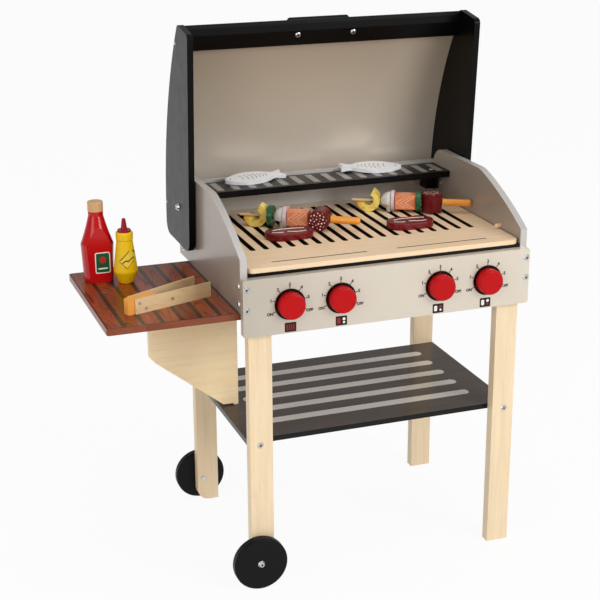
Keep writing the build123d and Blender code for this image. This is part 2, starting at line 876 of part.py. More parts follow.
def mustard_bottle():
    """A turned bottle: narrow foot, wide belly, tapered shoulder and a neck ring."""
    ring = mustard_height - mustard_neck_height
    half = [(0, 0), (mustard_base_radius, 0), (mustard_wide_radius, mustard_wide_height),
            (mustard_neck_radius, mustard_neck_height),
            (mustard_ring_radius, mustard_neck_height + ring * 0.1),
            (mustard_ring_radius, mustard_height), (0, mustard_height)]
    face = polygon(half, [(mustard_base_radius, 0, 1.5),
                          (mustard_wide_radius, mustard_wide_height, 5.0),
                          (mustard_ring_radius, mustard_height, 1.5)])
    return Pos(*mustard_at, table_top + flat_gap) * revolve(Plane.XZ * face, Axis.Z)


def mustard_nozzle():
    """The flange and cone that close the mustard bottle."""
    half = [(0, 0), (nozzle_flange_radius, 0), (nozzle_flange_radius, nozzle_flange_height),
            (nozzle_base_radius, nozzle_flange_height),
            (nozzle_tip_radius, nozzle_height), (0, nozzle_height)]
    face = polygon(half, [(nozzle_base_radius, nozzle_flange_height, 1.5),
                          (nozzle_tip_radius, nozzle_height, 1.6)])
    place = Pos(*mustard_at, table_top + flat_gap + mustard_height)
    return place * revolve(Plane.XZ * face, Axis.Z)


def tongs():
    """The tongs: a wedge block, two blades on its sides, their rivets and a stop peg."""
    half_end = tongs_block_end_width / 2
    taper = Vector(1, 0).rotate(Axis.Z, tongs_spread)
    half_far = half_end + tongs_block_length * taper.Y / taper.X
    wedge = polygon(
        [(0, -half_end), (tongs_block_length, -half_far), (tongs_block_length, half_far),
         (0, half_end)],
        [(0, -half_end, 3.5), (0, half_end, 3.5)],
    )
    block_solid = xy_plate(wedge, 0, tongs_height)
    spot = Location((*tongs_at, table_top + flat_gap), (0, 0, tongs_angle))
    blades, rivets = {}, []
    for name, side in (("front", -1), ("back", 1)):
        start = Vector(blade_start, side * (half_end + blade_start * taper.Y / taper.X), 0)
        way = Vector(taper.X, side * taper.Y, 0)
        out = Vector(-side * taper.Y * side, side * taper.X, 0)
        frame = Plane(origin=start, x_dir=way, z_dir=(0, 0, 1))
        low, high = sorted((0.0, side * blade_thickness))
        flat = frame * (Pos(blade_length / 2, (low + high) / 2) * Rectangle(
            blade_length, high - low))
        blade = extrude(flat, amount=tongs_height)
        for along, height in rivet_places:
            at = start + way * (along - blade_start) + Vector(0, 0, height)
            shank = rod(at - out * 4, out, 4 + blade_thickness, rivet_radius)
            head = rod(at + out * blade_thickness, out, rivet_head_height, rivet_head_radius)
            rivets.append(shank + head)
            blade -= shank
            block_solid -= shank
        peg = start + way * (stop_peg_at - blade_start) + Vector(0, 0, tongs_height / 2)
        stop = rod(peg - out * 3, out, 3 + blade_thickness, rivet_radius)
        stop += rod(peg + out * blade_thickness, out, rivet_head_height, rivet_head_radius)
        rivets.append(stop)
        blades[f"tongs_blade_{name}"] = spot * (blade - stop)
    return {"tongs_block": spot * block_solid, **blades, "tongs_rivets": spot * group(rivets)}


def bored(shape, fasteners):
    """A board with the holes that its fasteners fill."""
    size = shape.bounding_box()
    for piece in fasteners:
        if size.overlaps(piece.bounding_box()):
            shape -= piece
    return shape


def build():
    """Every piece by name, in the cabinet's frame."""
    screws, small_screws = wood_screws(), lid_screws()
    dowels = [rack_dowel(-1), rack_dowel(1), rack_plug()]
    dowels += [bracket_dowel(x) for x in bracket_dowel_x]
    fixings = wood_screws(hole_clearance) + lid_screws(hole_clearance) + dowels
    skin = lid_band(skin_inset, skin_thickness, skin_end_z)
    rail = lid_band(skin_inset + skin_thickness, rail_thickness, rail_low_z)
    boards = {
        "front_panel": front_panel(),
        "side_panel_left": side_panel(-1),
        "side_panel_right": side_panel(1),
        "back_panel": back_panel(),
        "leg_front_left": leg(-1, True),
        "leg_front_right": leg(1, True),
        "leg_rear_left": leg(-1, False),
        "leg_rear_right": leg(1, False),
        "shelf": shelf(),
        "fire_tray": fire_tray(),
        "upper_rack": rack_board(),
        "side_table": side_table(),
        "table_bracket": table_bracket(),
        "lid_side_left": lid_side(-1),
        "lid_side_right": lid_side(1),
        "lid_skin": skin,
        "lid_rail": rail,
    }
    nodes = {name: bored(shape, fixings) for name, shape in boards.items()}
    cleats = [bored(rack_cleat(side), dowels) for side in (-1, 1)]
    posts = [bored(handle_post(side, skin), fixings) for side in (-1, 1)]
    nodes |= {
        "grate": grate(),
        "grate_pegs": group([grate_peg(-1), grate_peg(1)]),
        "rack_cleats": group(cleats),
        "wood_dowels": group(dowels),
        "wood_screws": group(screws),
        "lid_handle_bar": handle_bar(),
        "lid_handle_posts": group(posts),
        "lid_screws": group(small_screws),
        "pivot_bolts": group([pivot_bolt(-1), pivot_bolt(1)]),
        "washers": group(washers()),
        "knob_bezels": group([bezel(x) for x in knob_x]),
        "knob_clips": group([knob_clip(x) for x in knob_x]),
        "wheel_front": wheel(True),
        "wheel_rear": wheel(False),
        "wheel_axles": group([wheel_axle(True), wheel_axle(False)]),
        "ketchup_bottle": ketchup_bottle(),
        "ketchup_cap": ketchup_cap(),
        "mustard_bottle": mustard_bottle(),
        "mustard_nozzle": mustard_nozzle(),
    }
    for i in (0, 1):
        nodes[f"fish_{i + 1}"] = fish(fish_x[i], fish_angles[i])
        nodes[f"steak_{i + 1}"] = steak(*steak_places[i])
    for i, x in enumerate(knob_x, 1):
        nodes[f"knob_{i}"] = knob(x)
    nodes |= tongs()
    nodes |= skewer(1, ("shrimp", "cucumber", "mushroom", "onion", "salmon", "salami"), False)
    nodes |= skewer(2, ("shrimp", "mushroom", "onion", "salmon", "cucumber", "salami"), True)
    return nodes


def main():
    """Moves the pieces to the frame of the whole object and writes them."""
    nodes = build()
    whole = Compound(children=[shape.moved(Location()) for shape in nodes.values()])
    size = whole.bounding_box()
    middle = size.center()
    shift = Pos(-middle.X, -middle.Y, 0)
    os.makedirs("parts", exist_ok=True)
    for name, shape in nodes.items():
        export_step(shift * shape, f"parts/{name}.step")
    print("pieces", len(nodes))
    print("moved by", round(-middle.X, 3), round(-middle.Y, 3))
    print("size", round(size.size.X, 2), round(size.size.Y, 2), round(size.size.Z, 2))


main()
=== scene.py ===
"""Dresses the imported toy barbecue: finishes, printed dials and labels, light and camera."""

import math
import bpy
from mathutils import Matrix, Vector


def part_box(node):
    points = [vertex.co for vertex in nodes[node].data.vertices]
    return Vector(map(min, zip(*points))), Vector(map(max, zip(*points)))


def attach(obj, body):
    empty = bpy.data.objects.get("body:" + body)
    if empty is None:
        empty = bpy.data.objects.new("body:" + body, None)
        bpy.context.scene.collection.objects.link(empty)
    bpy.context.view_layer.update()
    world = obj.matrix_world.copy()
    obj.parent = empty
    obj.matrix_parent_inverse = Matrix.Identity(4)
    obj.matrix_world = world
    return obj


bl_info = {
    "name": "Toy Barbecue",
    "version": (1, 0, 0),
    "blender": (4, 5, 0),
    "location": "3D View > Sidebar > Barbecue",
    "description": "Finishes and printed details for a child's wooden barbecue",
    "category": "Add Mesh",
}

import bpy
from mathutils import Matrix, Vector

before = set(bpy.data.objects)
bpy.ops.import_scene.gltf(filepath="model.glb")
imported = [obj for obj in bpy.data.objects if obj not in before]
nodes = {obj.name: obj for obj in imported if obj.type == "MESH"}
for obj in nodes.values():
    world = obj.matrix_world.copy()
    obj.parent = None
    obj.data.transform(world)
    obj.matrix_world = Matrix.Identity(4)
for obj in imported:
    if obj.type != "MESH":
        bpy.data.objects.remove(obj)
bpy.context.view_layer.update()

MM = 0.001
# Thickness of a printed or painted mark, and of the dark sheets laid on screw heads as painted
# shade in their slots and sockets
PRINT = 0.15
SHADE_SHEET = 0.06
PANEL_LOW, PANEL_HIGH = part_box("front_panel")
MIDDLE_X = (PANEL_LOW[0] + PANEL_HIGH[0]) / 2
FACE_Y = PANEL_LOW[1]
SHELF_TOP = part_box("shelf")[1][2] / MM
RACK_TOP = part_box("upper_rack")[1][2] / MM
KNOB_X = (-133.0, -66.8, 66.8, 133.0)
KNOB_Z = 381.2
DIAL_START, DIAL_STEP = -112.5, 37.5
BEZEL_TICK, PANEL_TICK = (18.5, 2.0), (21.6, 3.4)
DIGIT_RADIUS, WORD_RADIUS, WORD_SCALE = 25.0, 27.6, 0.9
DOT_RADIUS, DOT_ANGLE = 10.8, 116.0
TILE_X = (-132.5, -66.0, 65.0, 131.0)
TILE_Z, TILE_SIDE = 351.6, 3.4
KNOB_FACE = (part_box("knob_1")[0][1] - FACE_Y) / MM
BEZEL_FACE = (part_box("knob_bezels")[0][1] - FACE_Y) / MM
SHELF_STRIPE_LENGTH, SHELF_STRIPE_Y = 296.0, (71.0, 110.0, 149.0, 187.0, 225.0)
RACK_MIDDLE_Y, RACK_STRIP_MARGIN = 247.5, 14
PLANK_PITCH, PLANK_RIM = 23.5, 2.2
LID_MIDDLE = (0, 215.0, 560.0)
# A skewer's axis stands over the grate by a small gap and the radius of its widest topping
SKEWER_Z = 427.0 + 0.3 + 14.5
STICK_GRIP, SHRIMP_REACH, ONION_START, ONION_END = 124.4, 40, 55, 65
SALMON_START = {1: 66.7, 2: 59.4}
SALMON_LENGTH, SALMON_SIZE = 28.0, 20.0
SALAMI_START, SALAMI_RADIUS, SALAMI_LENGTH, SALAMI_SPOTS = 95.5, 14.0, 25.0, 26
SKEWERS = {1: ((-130.9, 204.0), -33.5), 2: ((36.5, 221.0), -28.0)}
PIVOT = (249.0, 447.0)
RAIL_SCREW, RAIL_TILT = (225.75, 668.78), math.radians(33.5)
RAIL_SCREW_X = (-39.0, 39.0)
CROSS = (20, 110)
STEAKS = {1: (-89.0, 126.0), 2: (77.0, 117.0)}
KETCHUP = (-323.6, 205.0)
MUSTARD = (-292.2, 184.0)
TABLE_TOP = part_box("side_table")[1][2] / MM
FISH = {1: (-91.0, 8.0), 2: (80.0, 168.0)}
FISH_FRONT, FISH_HALF, FISH_GAP, FISH_THICK = 243.5, 18.5, 0.45, 5.0
BACK_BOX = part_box("back_panel")
FISH_TILT = math.atan2(BACK_BOX[1][2] / MM - RACK_TOP,
                       (BACK_BOX[0][1] - FACE_Y) / MM - FISH_FRONT)
# The turn from one spot to the next that spreads them evenly over a disc
EVEN_TURN = 2.39996
# The camera's place in the cabinet's millimetres, its three directions and its lens
EYE = (-666.8, -1515.9, 933.8)
EYE_RIGHT = (0.94117, -0.33789, -0.00588)
EYE_UP = (0.11378, 0.30046, 0.94698)
EYE_BACK = (-0.31821, -0.89194, 0.32122)
EYE_LENS, EYE_SHIFT = 84.25, (0.0077, -0.0030)


def spot(x, y, z):
    """A point in the cabinet's own millimetres, as a place in the frame."""
    return Vector((MIDDLE_X + x * MM, FACE_Y + y * MM, z * MM))


def tint(red, green, blue):
    """A colour read from 0 to 255, in Blender's linear values."""
    shares = (red / 255, green / 255, blue / 255)
    return tuple(s / 12.92 if s <= 0.04045 else ((s + 0.055) / 1.055) ** 2.4 for s in shares)


def colour(name, description, default):
    return bpy.props.FloatVectorProperty(
        name=name, description=description, subtype="COLOR", size=3, min=0, max=1,
        default=default)


def length(name, description, default):
    return bpy.props.FloatProperty(
        name=name, description=description, unit="LENGTH", min=0, default=default)


class GrillColours(bpy.types.PropertyGroup):
    panel: colour("Control panel", "Silver lacquer of the control panel", tint(218, 208, 192))
    body: colour("Cabinet", "Metallic lacquer of the side and back panels", tint(166, 154, 142))
    body_edge: colour("Cabinet edge", "Pale edges of the side panels", tint(200, 195, 190))
    wood: colour("Plywood", "Clear-coated legs", tint(243, 220, 184))
    grate: colour("Grate", "Clear-coated grate board", tint(253, 224, 188))
    bracket: colour("Bracket", "Board under the side table", tint(255, 230, 186))
    black: colour("Black paint", "Shelf, tray, rack and lid", tint(8, 7, 7))
    plank: colour("Planks", "Printed planks of the side table", tint(134, 54, 26))
    plank_gap: colour("Plank gap", "Dark lines between the printed planks", tint(52, 34, 22))
    stripe: colour("Stripes", "Pale stripes on the shelf and the rack", tint(232, 224, 216))
    red: colour("Red", "Knobs and ketchup bottle", tint(186, 8, 14))
    yellow: colour("Yellow", "Mustard bottle", tint(246, 200, 10))
    steak: colour("Steak", "Top of the steaks", tint(112, 16, 20))
    salami: colour("Salami", "Cut face of the salami", tint(104, 16, 20))
    salmon: colour("Salmon", "Salmon pieces", tint(232, 138, 92))


class GrillSizes(bpy.types.PropertyGroup):
    shelf_stripe: length("Shelf stripe", "Width of one stripe on the shelf", 15.0 * MM)
    rack_strip: length("Rack strip", "Width of one strip on the rack", 9.5 * MM)
    rack_count: bpy.props.IntProperty(
        name="Rack strips", description="How many strips cross the rack", min=2, default=16)
    tick: length("Tick", "Width of a dial's tick marks", 0.95 * MM)
    digit: length("Digit", "Height of the dial's numbers", 5.6 * MM)


def sizes():
    return bpy.context.scene.grill_sizes


def colours():
    return bpy.context.scene.grill_colours


# Finishes

class Finish:
    """A node material built from a few named steps."""

    def __init__(self, name, roughness=0.4, coat=0.0, metallic=0.0, coat_roughness=0.08,
                 shine=0.35):
        self.material = bpy.data.materials.new(name)
        self.material.use_nodes = True
        self.tree = self.material.node_tree
        self.shader = self.tree.nodes["Principled BSDF"]
        self.shader.inputs["Roughness"].default_value = roughness
        self.shader.inputs["Metallic"].default_value = metallic
        self.shader.inputs["Specular IOR Level"].default_value = shine
        self.shader.inputs["Coat Weight"].default_value = coat
        self.shader.inputs["Coat Roughness"].default_value = coat_roughness
        self.coordinates = self.tree.nodes.new("ShaderNodeTexCoord")

    @classmethod
    def adopt(cls, material):
        """Takes up a finished material again, to paint over it."""
        self = cls.__new__(cls)
        self.material, self.tree = material, material.node_tree
        self.shader = self.tree.nodes["Principled BSDF"]
        self.coordinates = self.tree.nodes.new("ShaderNodeTexCoord")
        return self

    def painted(self):
        return self.shader.inputs["Base Color"].links[0].from_socket

    def node(self, kind, links=(), **settings):
        """Adds a node, with its settings, and joins or sets its inputs."""
        new = self.tree.nodes.new(kind)
        for key, value in settings.items():
            setattr(new, key, value)
        for socket, source in dict(links).items():
            if isinstance(source, bpy.types.NodeSocket):
                self.tree.links.new(source, new.inputs[socket])
            else:
                new.inputs[socket].default_value = source
        return new

    def place(self, scale=(1, 1, 1), turn=(0, 0, 0), at=(0, 0, 0)):
        """Object coordinates, moved, turned and scaled."""
        return self.node("ShaderNodeMapping", {
            "Vector": self.coordinates.outputs["Object"], "Location": at,
            "Rotation": turn, "Scale": scale}).outputs["Vector"]

    def noise(self, scale, where=None, detail=4.0, distortion=0.0):
        return self.node("ShaderNodeTexNoise", {
            "Vector": where or self.coordinates.outputs["Object"], "Scale": scale,
            "Detail": detail, "Distortion": distortion}).outputs["Fac"]

    def ramp(self, value, stops, smooth=False):
        """Colours or greys along a value: each stop is (place, colour)."""
        new = self.node("ShaderNodeValToRGB", {"Fac": value})
        new.color_ramp.interpolation = "EASE" if smooth else "LINEAR"
        elements = new.color_ramp.elements
        while len(elements) < len(stops):
            elements.new(0.5)
        for element, (place, shade) in zip(elements, stops):
            element.position = place
            element.color = (*shade, 1) if hasattr(shade, "__len__") else (shade,) * 3 + (1,)
        return new.outputs["Color"]

    def mix(self, share, first, second, blend="MIX"):
        new = self.node("ShaderNodeMix", data_type="RGBA", blend_type=blend)
        for index, source in ((0, share), (6, first), (7, second)):
            if isinstance(source, bpy.types.NodeSocket):
                self.tree.links.new(source, new.inputs[index])
            elif index:
                new.inputs[index].default_value = (*source, 1)
            else:
                new.inputs[index].default_value = source
        return new.outputs[2]

    def maths(self, operation, first, second=0.0):
        return self.node("ShaderNodeMath", {0: first, 1: second},
                         operation=operation).outputs["Value"]

    def along(self, direction, start=(0, 0, 0), socket="Object"):
        """How far a point lies along a direction from a start, in metres."""
        moved = self.node("ShaderNodeVectorMath", {
            0: self.coordinates.outputs[socket], 1: start}, operation="SUBTRACT")
        return self.node("ShaderNodeVectorMath", {
            0: moved.outputs["Vector"], 1: direction}, operation="DOT_PRODUCT").outputs["Value"]

    def paint(self, source):
        self.tree.links.new(source, self.shader.inputs["Base Color"])

    def rough(self, value, low, high):
        spread = self.node("ShaderNodeMapRange", {
            "Value": value, "To Min": low, "To Max": high}).outputs["Result"]
        self.tree.links.new(spread, self.shader.inputs["Roughness"])

    def bump(self, height, strength=0.2, distance=0.0004):
        new = self.node("ShaderNodeBump", {
            "Height": height, "Strength": strength, "Distance": distance})
        self.tree.links.new(new.outputs["Normal"], self.shader.inputs["Normal"])


def shade(base, factor):
    return tuple(min(1.0, c * factor) for c in base)


def lacquer(name, base, edge=None, roughness=0.34, metallic=0.25, coat=0.25):
    """Sprayed lacquer: cloudy, finely flecked, with a light orange-peel surface."""
    f = Finish(name, roughness, coat, metallic)
    cloud = f.noise(7.0, detail=3.0)
    fleck = f.noise(2600.0, detail=1.0)
    body = f.mix(cloud, shade(base, 0.93), shade(base, 1.07))
    body = f.mix(f.ramp(fleck, ((0.42, 0.0), (0.7, 0.35))), body, shade(base, 1.25))
    if edge:
        facing = f.maths("ABSOLUTE", f.along((1, 0, 0), socket="Normal"))
        body = f.mix(f.maths("LESS_THAN", facing, 0.5), body, edge)
    f.paint(body)
    f.rough(cloud, roughness * 0.85, roughness * 1.2)
    f.bump(f.noise(420.0, detail=2.0), 0.12, 0.0002)
    return f.material


def plywood(name, base, grain_axis="Z", depth=0.9, roughness=0.42):
    """Clear-coated wood: long streaks, fine pores and soft clouds along the grain."""
    stretch = {"X": (0.05, 1, 1), "Y": (1, 0.05, 1), "Z": (1, 1, 0.05)}[grain_axis]
    f = Finish(name, roughness, 0.18, coat_roughness=0.2)
    where = f.place(scale=stretch)
    streak = f.noise(150.0, where, 6.0, 0.6)
    cloud = f.noise(14.0, f.place(scale=tuple(c ** 0.4 for c in stretch)), 3.0, 1.2)
    pore = f.noise(900.0, where, 2.0)
    body = f.ramp(streak, ((0.3, shade(base, depth)), (0.55, base),
                           (0.8, shade(base, 1.06))))
    body = f.mix(f.ramp(cloud, ((0.35, 0.0), (0.75, 0.35))), body,
                 (base[0] * 0.95, base[1] * 0.82, base[2] * 0.66))
    body = f.mix(f.ramp(pore, ((0.62, 0.0), (0.75, 0.35))), body, shade(base, 0.6))
    f.paint(body)
    f.rough(streak, roughness * 0.85, roughness * 1.2)
    f.bump(streak, 0.15, 0.0003)
    return f.material


def gloss(name, base, roughness=0.22, coat=0.1, depth=0.1, shine=0.25):
    """Poured or brushed gloss paint on turned wood."""
    f = Finish(name, roughness, coat, coat_roughness=0.06, shine=shine)
    cloud = f.noise(30.0, detail=4.0)
    f.paint(f.mix(cloud, shade(base, 1 - depth), shade(base, 1 + depth)))
    f.rough(f.noise(90.0, detail=3.0), roughness * 0.8, roughness * 1.3)
    f.bump(f.noise(160.0, detail=3.0), 0.08, 0.0003)
    return f.material


def black_board(name, base, roughness=0.3, shine=0.12):
    """Satin black paint on board, with faint roller marks and rubbed dust."""
    f = Finish(name, roughness, shine=shine)
    roll = f.noise(60.0, f.place(scale=(0.15, 1, 1)), 4.0)
    dust = f.noise(500.0, detail=2.0)
    body = f.mix(roll, shade(base, 0.7), shade(base, 1.3))
    f.paint(f.mix(f.ramp(dust, ((0.68, 0.0), (0.9, 0.05))), body, (0.10, 0.09, 0.08)))
    f.rough(roll, roughness * 0.8, roughness * 1.25)
    f.bump(f.noise(300.0, detail=3.0), 0.1, 0.0002)
    return f.material


def zinc(name, base=(0.62, 0.62, 0.6)):
    """Zinc-plated steel with fine turning marks."""
    f = Finish(name, 0.28, 0.0, 1.0)
    mark = f.noise(1500.0, detail=2.0)
    f.paint(f.mix(mark, shade(base, 0.8), shade(base, 1.15)))
    f.rough(mark, 0.2, 0.42)
    f.bump(mark, 0.15, 0.0001)
    return f.material


def dress(material, *names):
    """Gives these CAD nodes a material."""
    for name in names:
        slots = nodes[name].data.materials
        slots.clear()
        slots.append(material)


# Modelling

def clear():
    """Leaves edit mode and selects nothing."""
    if bpy.context.object and bpy.context.object.mode != "OBJECT":
        bpy.ops.object.mode_set(mode="OBJECT")
    bpy.ops.object.select_all(action="DESELECT")


def raise_face(thickness, rim=0.0):
    """Extrudes the selected flat face and leaves object mode with outward normals."""
    bpy.ops.mesh.extrude_region_move(TRANSFORM_OT_translate={"value": (0, 0, thickness)})
    if rim:
        bpy.ops.mesh.bevel(offset=rim, segments=2, affect="EDGES")
    bpy.ops.mesh.select_all(action="SELECT")
    bpy.ops.mesh.normals_make_consistent(inside=False)
    bpy.ops.object.mode_set(mode="OBJECT")
    return bpy.context.object


def slab(wide, high, thickness=PRINT, corner=0.0, rim=0.0):
    """A thin rounded rectangle in millimetres, standing on its own XY plane."""
    clear()
    bpy.ops.mesh.primitive_plane_add(size=1)
    bpy.ops.object.mode_set(mode="EDIT")
    bpy.ops.transform.resize(value=(wide * MM, high * MM, 1))
    if corner:
        bpy.ops.mesh.bevel(offset=corner * MM, segments=6, affect="VERTICES")
        bpy.ops.mesh.select_all(action="SELECT")
    return raise_face(thickness * MM, rim * MM)


def disc(radius, thickness=PRINT, sides=24, wide=1.0):
    """A thin round or oval spot in millimetres."""
    clear()
    bpy.ops.mesh.primitive_circle_add(vertices=sides, radius=radius * MM, fill_type="NGON")
    bpy.ops.object.mode_set(mode="EDIT")
    bpy.ops.transform.resize(value=(wide, 1, 1))
    return raise_face(thickness * MM)


def ring(outer, inner, thickness=PRINT, sides=40):
    """A flat ring in millimetres."""
    clear()
    bpy.ops.mesh.primitive_circle_add(vertices=sides, radius=outer * MM, fill_type="NGON")
    bpy.ops.object.mode_set(mode="EDIT")
    bpy.ops.mesh.inset(thickness=(outer - inner) * MM)
    bpy.ops.mesh.delete(type="FACE")
    bpy.ops.mesh.select_all(action="SELECT")
    return raise_face(thickness * MM)


def stroke(points, width, thickness=PRINT):
    """A painted line through points in millimetres, flat underneath and rounded on top."""
    clear()
    bpy.ops.curve.primitive_nurbs_path_add()
    path = bpy.context.object
    line = path.data.splines[0]
    line.points.add(max(0, len(points) - len(line.points)))
    for i, point in enumerate(line.points):
        x, y = points[min(i, len(points) - 1)]
        point.co = (x * MM, y * MM, 0, 1)
    line.order_u = 3
    line.use_endpoint_u = True
    path.data.resolution_u = 4
    path.data.bevel_depth = width / 2 * MM
    path.data.bevel_resolution = 2
    path.data.use_fill_caps = True
    bpy.ops.object.convert(target="MESH")
    bpy.ops.object.mode_set(mode="EDIT")
    bpy.ops.mesh.select_all(action="SELECT")
    bpy.ops.transform.resize(value=(1, 1, 2 * thickness / width))
    bpy.ops.mesh.remove_doubles(threshold=0.000005)
    bpy.ops.mesh.normals_make_consistent(inside=False)
    bpy.ops.object.mode_set(mode="OBJECT")
    return bpy.context.object


def lettering(words, height):
    """Raised printed letters, centred, as a mesh."""
    clear()
    bpy.ops.object.text_add()
    text = bpy.context.object
    text.data.body = words
    text.data.size = height
    text.data.align_x = "CENTER"
    text.data.align_y = "CENTER"
    text.data.extrude = PRINT / 2 * MM
    text.data.offset = 0.00022
    bpy.ops.object.convert(target="MESH")
    return bpy.context.object


def patch(corners, wide, high):
    """A fine flat sheet in millimetres, cut to clockwise corners by planes."""
    clear()
    bpy.ops.mesh.primitive_grid_add(x_subdivisions=16, y_subdivisions=20, size=1)
    bpy.ops.object.mode_set(mode="EDIT")
    bpy.ops.transform.resize(value=(wide * MM, high * MM, 1))
    for (x, y), (to_x, to_y) in zip(corners, corners[1:] + corners[:1]):
        bpy.ops.mesh.select_all(action="SELECT")
        bpy.ops.mesh.bisect(plane_co=(x * MM, y * MM, 0), plane_no=(y - to_y, to_x - x, 0),
                            clear_outer=True)
    bpy.ops.object.mode_set(mode="OBJECT")
    return bpy.context.object


def ribbon(points):
    """A flat strip between two lines of points, given there and back."""
    clear()
    count = len(points) // 2
    bpy.ops.mesh.primitive_grid_add(x_subdivisions=count - 1, y_subdivisions=1, size=1)
    strip = bpy.context.object
    for vertex in strip.data.vertices:
        step = round((vertex.co.x + 0.5) * (count - 1))
        x, y = points[step] if vertex.co.y > 0 else points[-1 - step]
        vertex.co = (x * MM, y * MM, 0)
    bpy.ops.object.mode_set(mode="EDIT")
    bpy.ops.mesh.subdivide(number_cuts=2)
    bpy.ops.object.mode_set(mode="OBJECT")
    return strip


def wrapped(sheet, target, place, offset):
    """Presses a sheet that faces the front onto a turned piece and gives it a thickness."""
    put(sheet, place, FRONT)
    press = sheet.modifiers.new("press", "SHRINKWRAP")
    press.wrap_method = "PROJECT"
    press.use_project_y = True
    press.use_positive_direction = True
    press.use_negative_direction = True
    press.target = target
    press.offset = offset * MM
    press.cull_face = "BACK"
    bpy.ops.object.modifier_apply(modifier=press.name)
    wall = sheet.modifiers.new("wall", "SOLIDIFY")
    wall.thickness = 0.08 * MM
    wall.offset = 0
    bpy.ops.object.modifier_apply(modifier=wall.name)
    return sheet


FRONT = Matrix.Rotation(math.pi / 2, 4, "X")
BACK = Matrix.Rotation(math.pi, 4, "Z") @ FRONT
LEFT = Matrix.Rotation(-math.pi / 2, 4, "Z") @ FRONT
RIGHT = Matrix.Rotation(math.pi / 2, 4, "Z") @ FRONT
TOP = Matrix.Identity(4)
UNDER = Matrix.Rotation(math.pi, 4, "X")


def put(piece, place, facing=TOP, turn=0.0):
    """Moves a piece to its place, turned on the surface that it faces out of."""
    clear()
    piece.select_set(True)
    bpy.context.view_layer.objects.active = piece
    piece.matrix_world = (Matrix.Translation(place) @ facing
                          @ Matrix.Rotation(math.radians(turn), 4, "Z")
                          @ piece.matrix_world)
    bpy.ops.object.transform_apply(location=True, rotation=True, scale=True)
    return piece


def gather(name, pieces, material, body):
    """Joins like pieces into one, finishes it and lets it ride on a body."""
    clear()
    for piece in pieces:
        piece.select_set(True)
        piece.data.materials.clear()
    bpy.context.view_layer.objects.active = pieces[0]
    if len(pieces) > 1:
        bpy.ops.object.join()
    whole = bpy.context.object
    whole.name = whole.data.name = name
    whole.data.materials.append(material)
    bpy.ops.object.shade_smooth_by_angle(angle=math.radians(35))
    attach(whole, body)
    return whole


class GRILL_OT_cabinet(bpy.types.Operator):
    """Lacquers the control panel, the side panels and the back"""

    bl_idname = "grill.cabinet"
    bl_label = "Cabinet"

    def execute(self, context):
        c = colours()
        panel = lacquer("panel_silver", c.panel, roughness=0.3, metallic=0.3)
        f = Finish.adopt(panel)
        # Painted shade: the panel's colour is multiplied darker towards its left end.
        share = f.maths("DIVIDE", f.along((1, 0, 0), PANEL_LOW), PANEL_HIGH[0] - PANEL_LOW[0])
        panel_painted_shade = f.ramp(share, ((0.0, 0.72), (0.35, 0.93), (1.0, 1.0)))
        f.paint(f.mix(1.0, f.painted(), panel_painted_shade, "MULTIPLY"))
        dress(panel, "front_panel")
        dress(lacquer("cabinet_lacquer", c.body, c.body_edge), "side_panel_left",
              "side_panel_right", "back_panel")
        return {"FINISHED"}


class GRILL_OT_woodwork(bpy.types.Operator):
    """Finishes the clear-coated legs, grate, pegs, dowels and bracket"""

    bl_idname = "grill.woodwork"
    bl_label = "Woodwork"

    def execute(self, context):
        c = colours()
        dress(plywood("leg_plywood", c.wood), "leg_front_left", "leg_front_right",
              "leg_rear_left", "leg_rear_right")
        dress(plywood("dowel_wood", tint(252, 240, 224)), "wood_dowels")
        self.grate(c.grate)
        dress(plywood("peg_wood", c.grate, "X"), "grate_pegs")
        dress(plywood("bracket_board", c.bracket, "X", 0.93), "table_bracket")
        return {"FINISHED"}

    def grate(self, wood):
        """Clear-coated board, with painted shade: near-black on the walls inside its slots and
        darker brown on the floors of its grooves.
        """
        material = plywood("grate_plywood", wood, "X")
        f = Finish.adopt(material)
        low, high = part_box("grate")
        middle = [(a + b) / 2 for a, b in zip(low, high)]
        depth = f.along((0, 0, -1), (0, 0, high[2] - 0.4 * MM))
        inside = f.maths("GREATER_THAN", depth, 0.0)
        for axis in (0, 1):
            way = tuple(float(i == axis) for i in range(3))
            reach = (high[axis] - low[axis]) / 2 - 4 * MM
            far = f.maths("ABSOLUTE", f.along(way, middle))
            inside = f.maths("MULTIPLY", inside, f.maths("LESS_THAN", far, reach))
        # Painted shade in the recesses: slot walls near-black, groove floors darker brown.
        rise = f.maths("GREATER_THAN", f.along((0, 0, 1), socket="Normal"), 0.5)
        slot_and_groove_shade = f.mix(rise, tint(40, 26, 18), tint(140, 112, 86))
        f.paint(f.mix(inside, f.painted(), slot_and_groove_shade))
        dress(material, "grate")


class GRILL_OT_black_boards(bpy.types.Operator):
    """Paints the tray, rack, cleats, dial rings, shelf, wheels, and the lid's rail and handle"""

    bl_idname = "grill.black_boards"
    bl_label = "Black boards"

    def execute(self, context):
        c = colours()
        dress(black_board("black_paint", c.black), "fire_tray", "upper_rack", "rack_cleats",
              "knob_bezels", "lid_rail", "lid_handle_posts", "lid_handle_bar")
        # Painted sheen: the shelf is black paint, but its top faces are painted a lighter
        # grey-brown for the light they reflect; only the edges keep the black.
        shelf = black_board("shelf_black_painted_sheen", tint(80, 68, 60), 0.24, 0.25)
        f = Finish.adopt(shelf)
        rise = f.maths("GREATER_THAN", f.along((0, 0, 1), socket="Normal"), 0.5)
        f.paint(f.mix(rise, c.black, f.painted()))
        dress(shelf, "shelf")
        dress(black_board("wheel_paint", tint(12, 11, 11), 0.4, 0.15), "wheel_front",
              "wheel_rear")
        return {"FINISHED"}


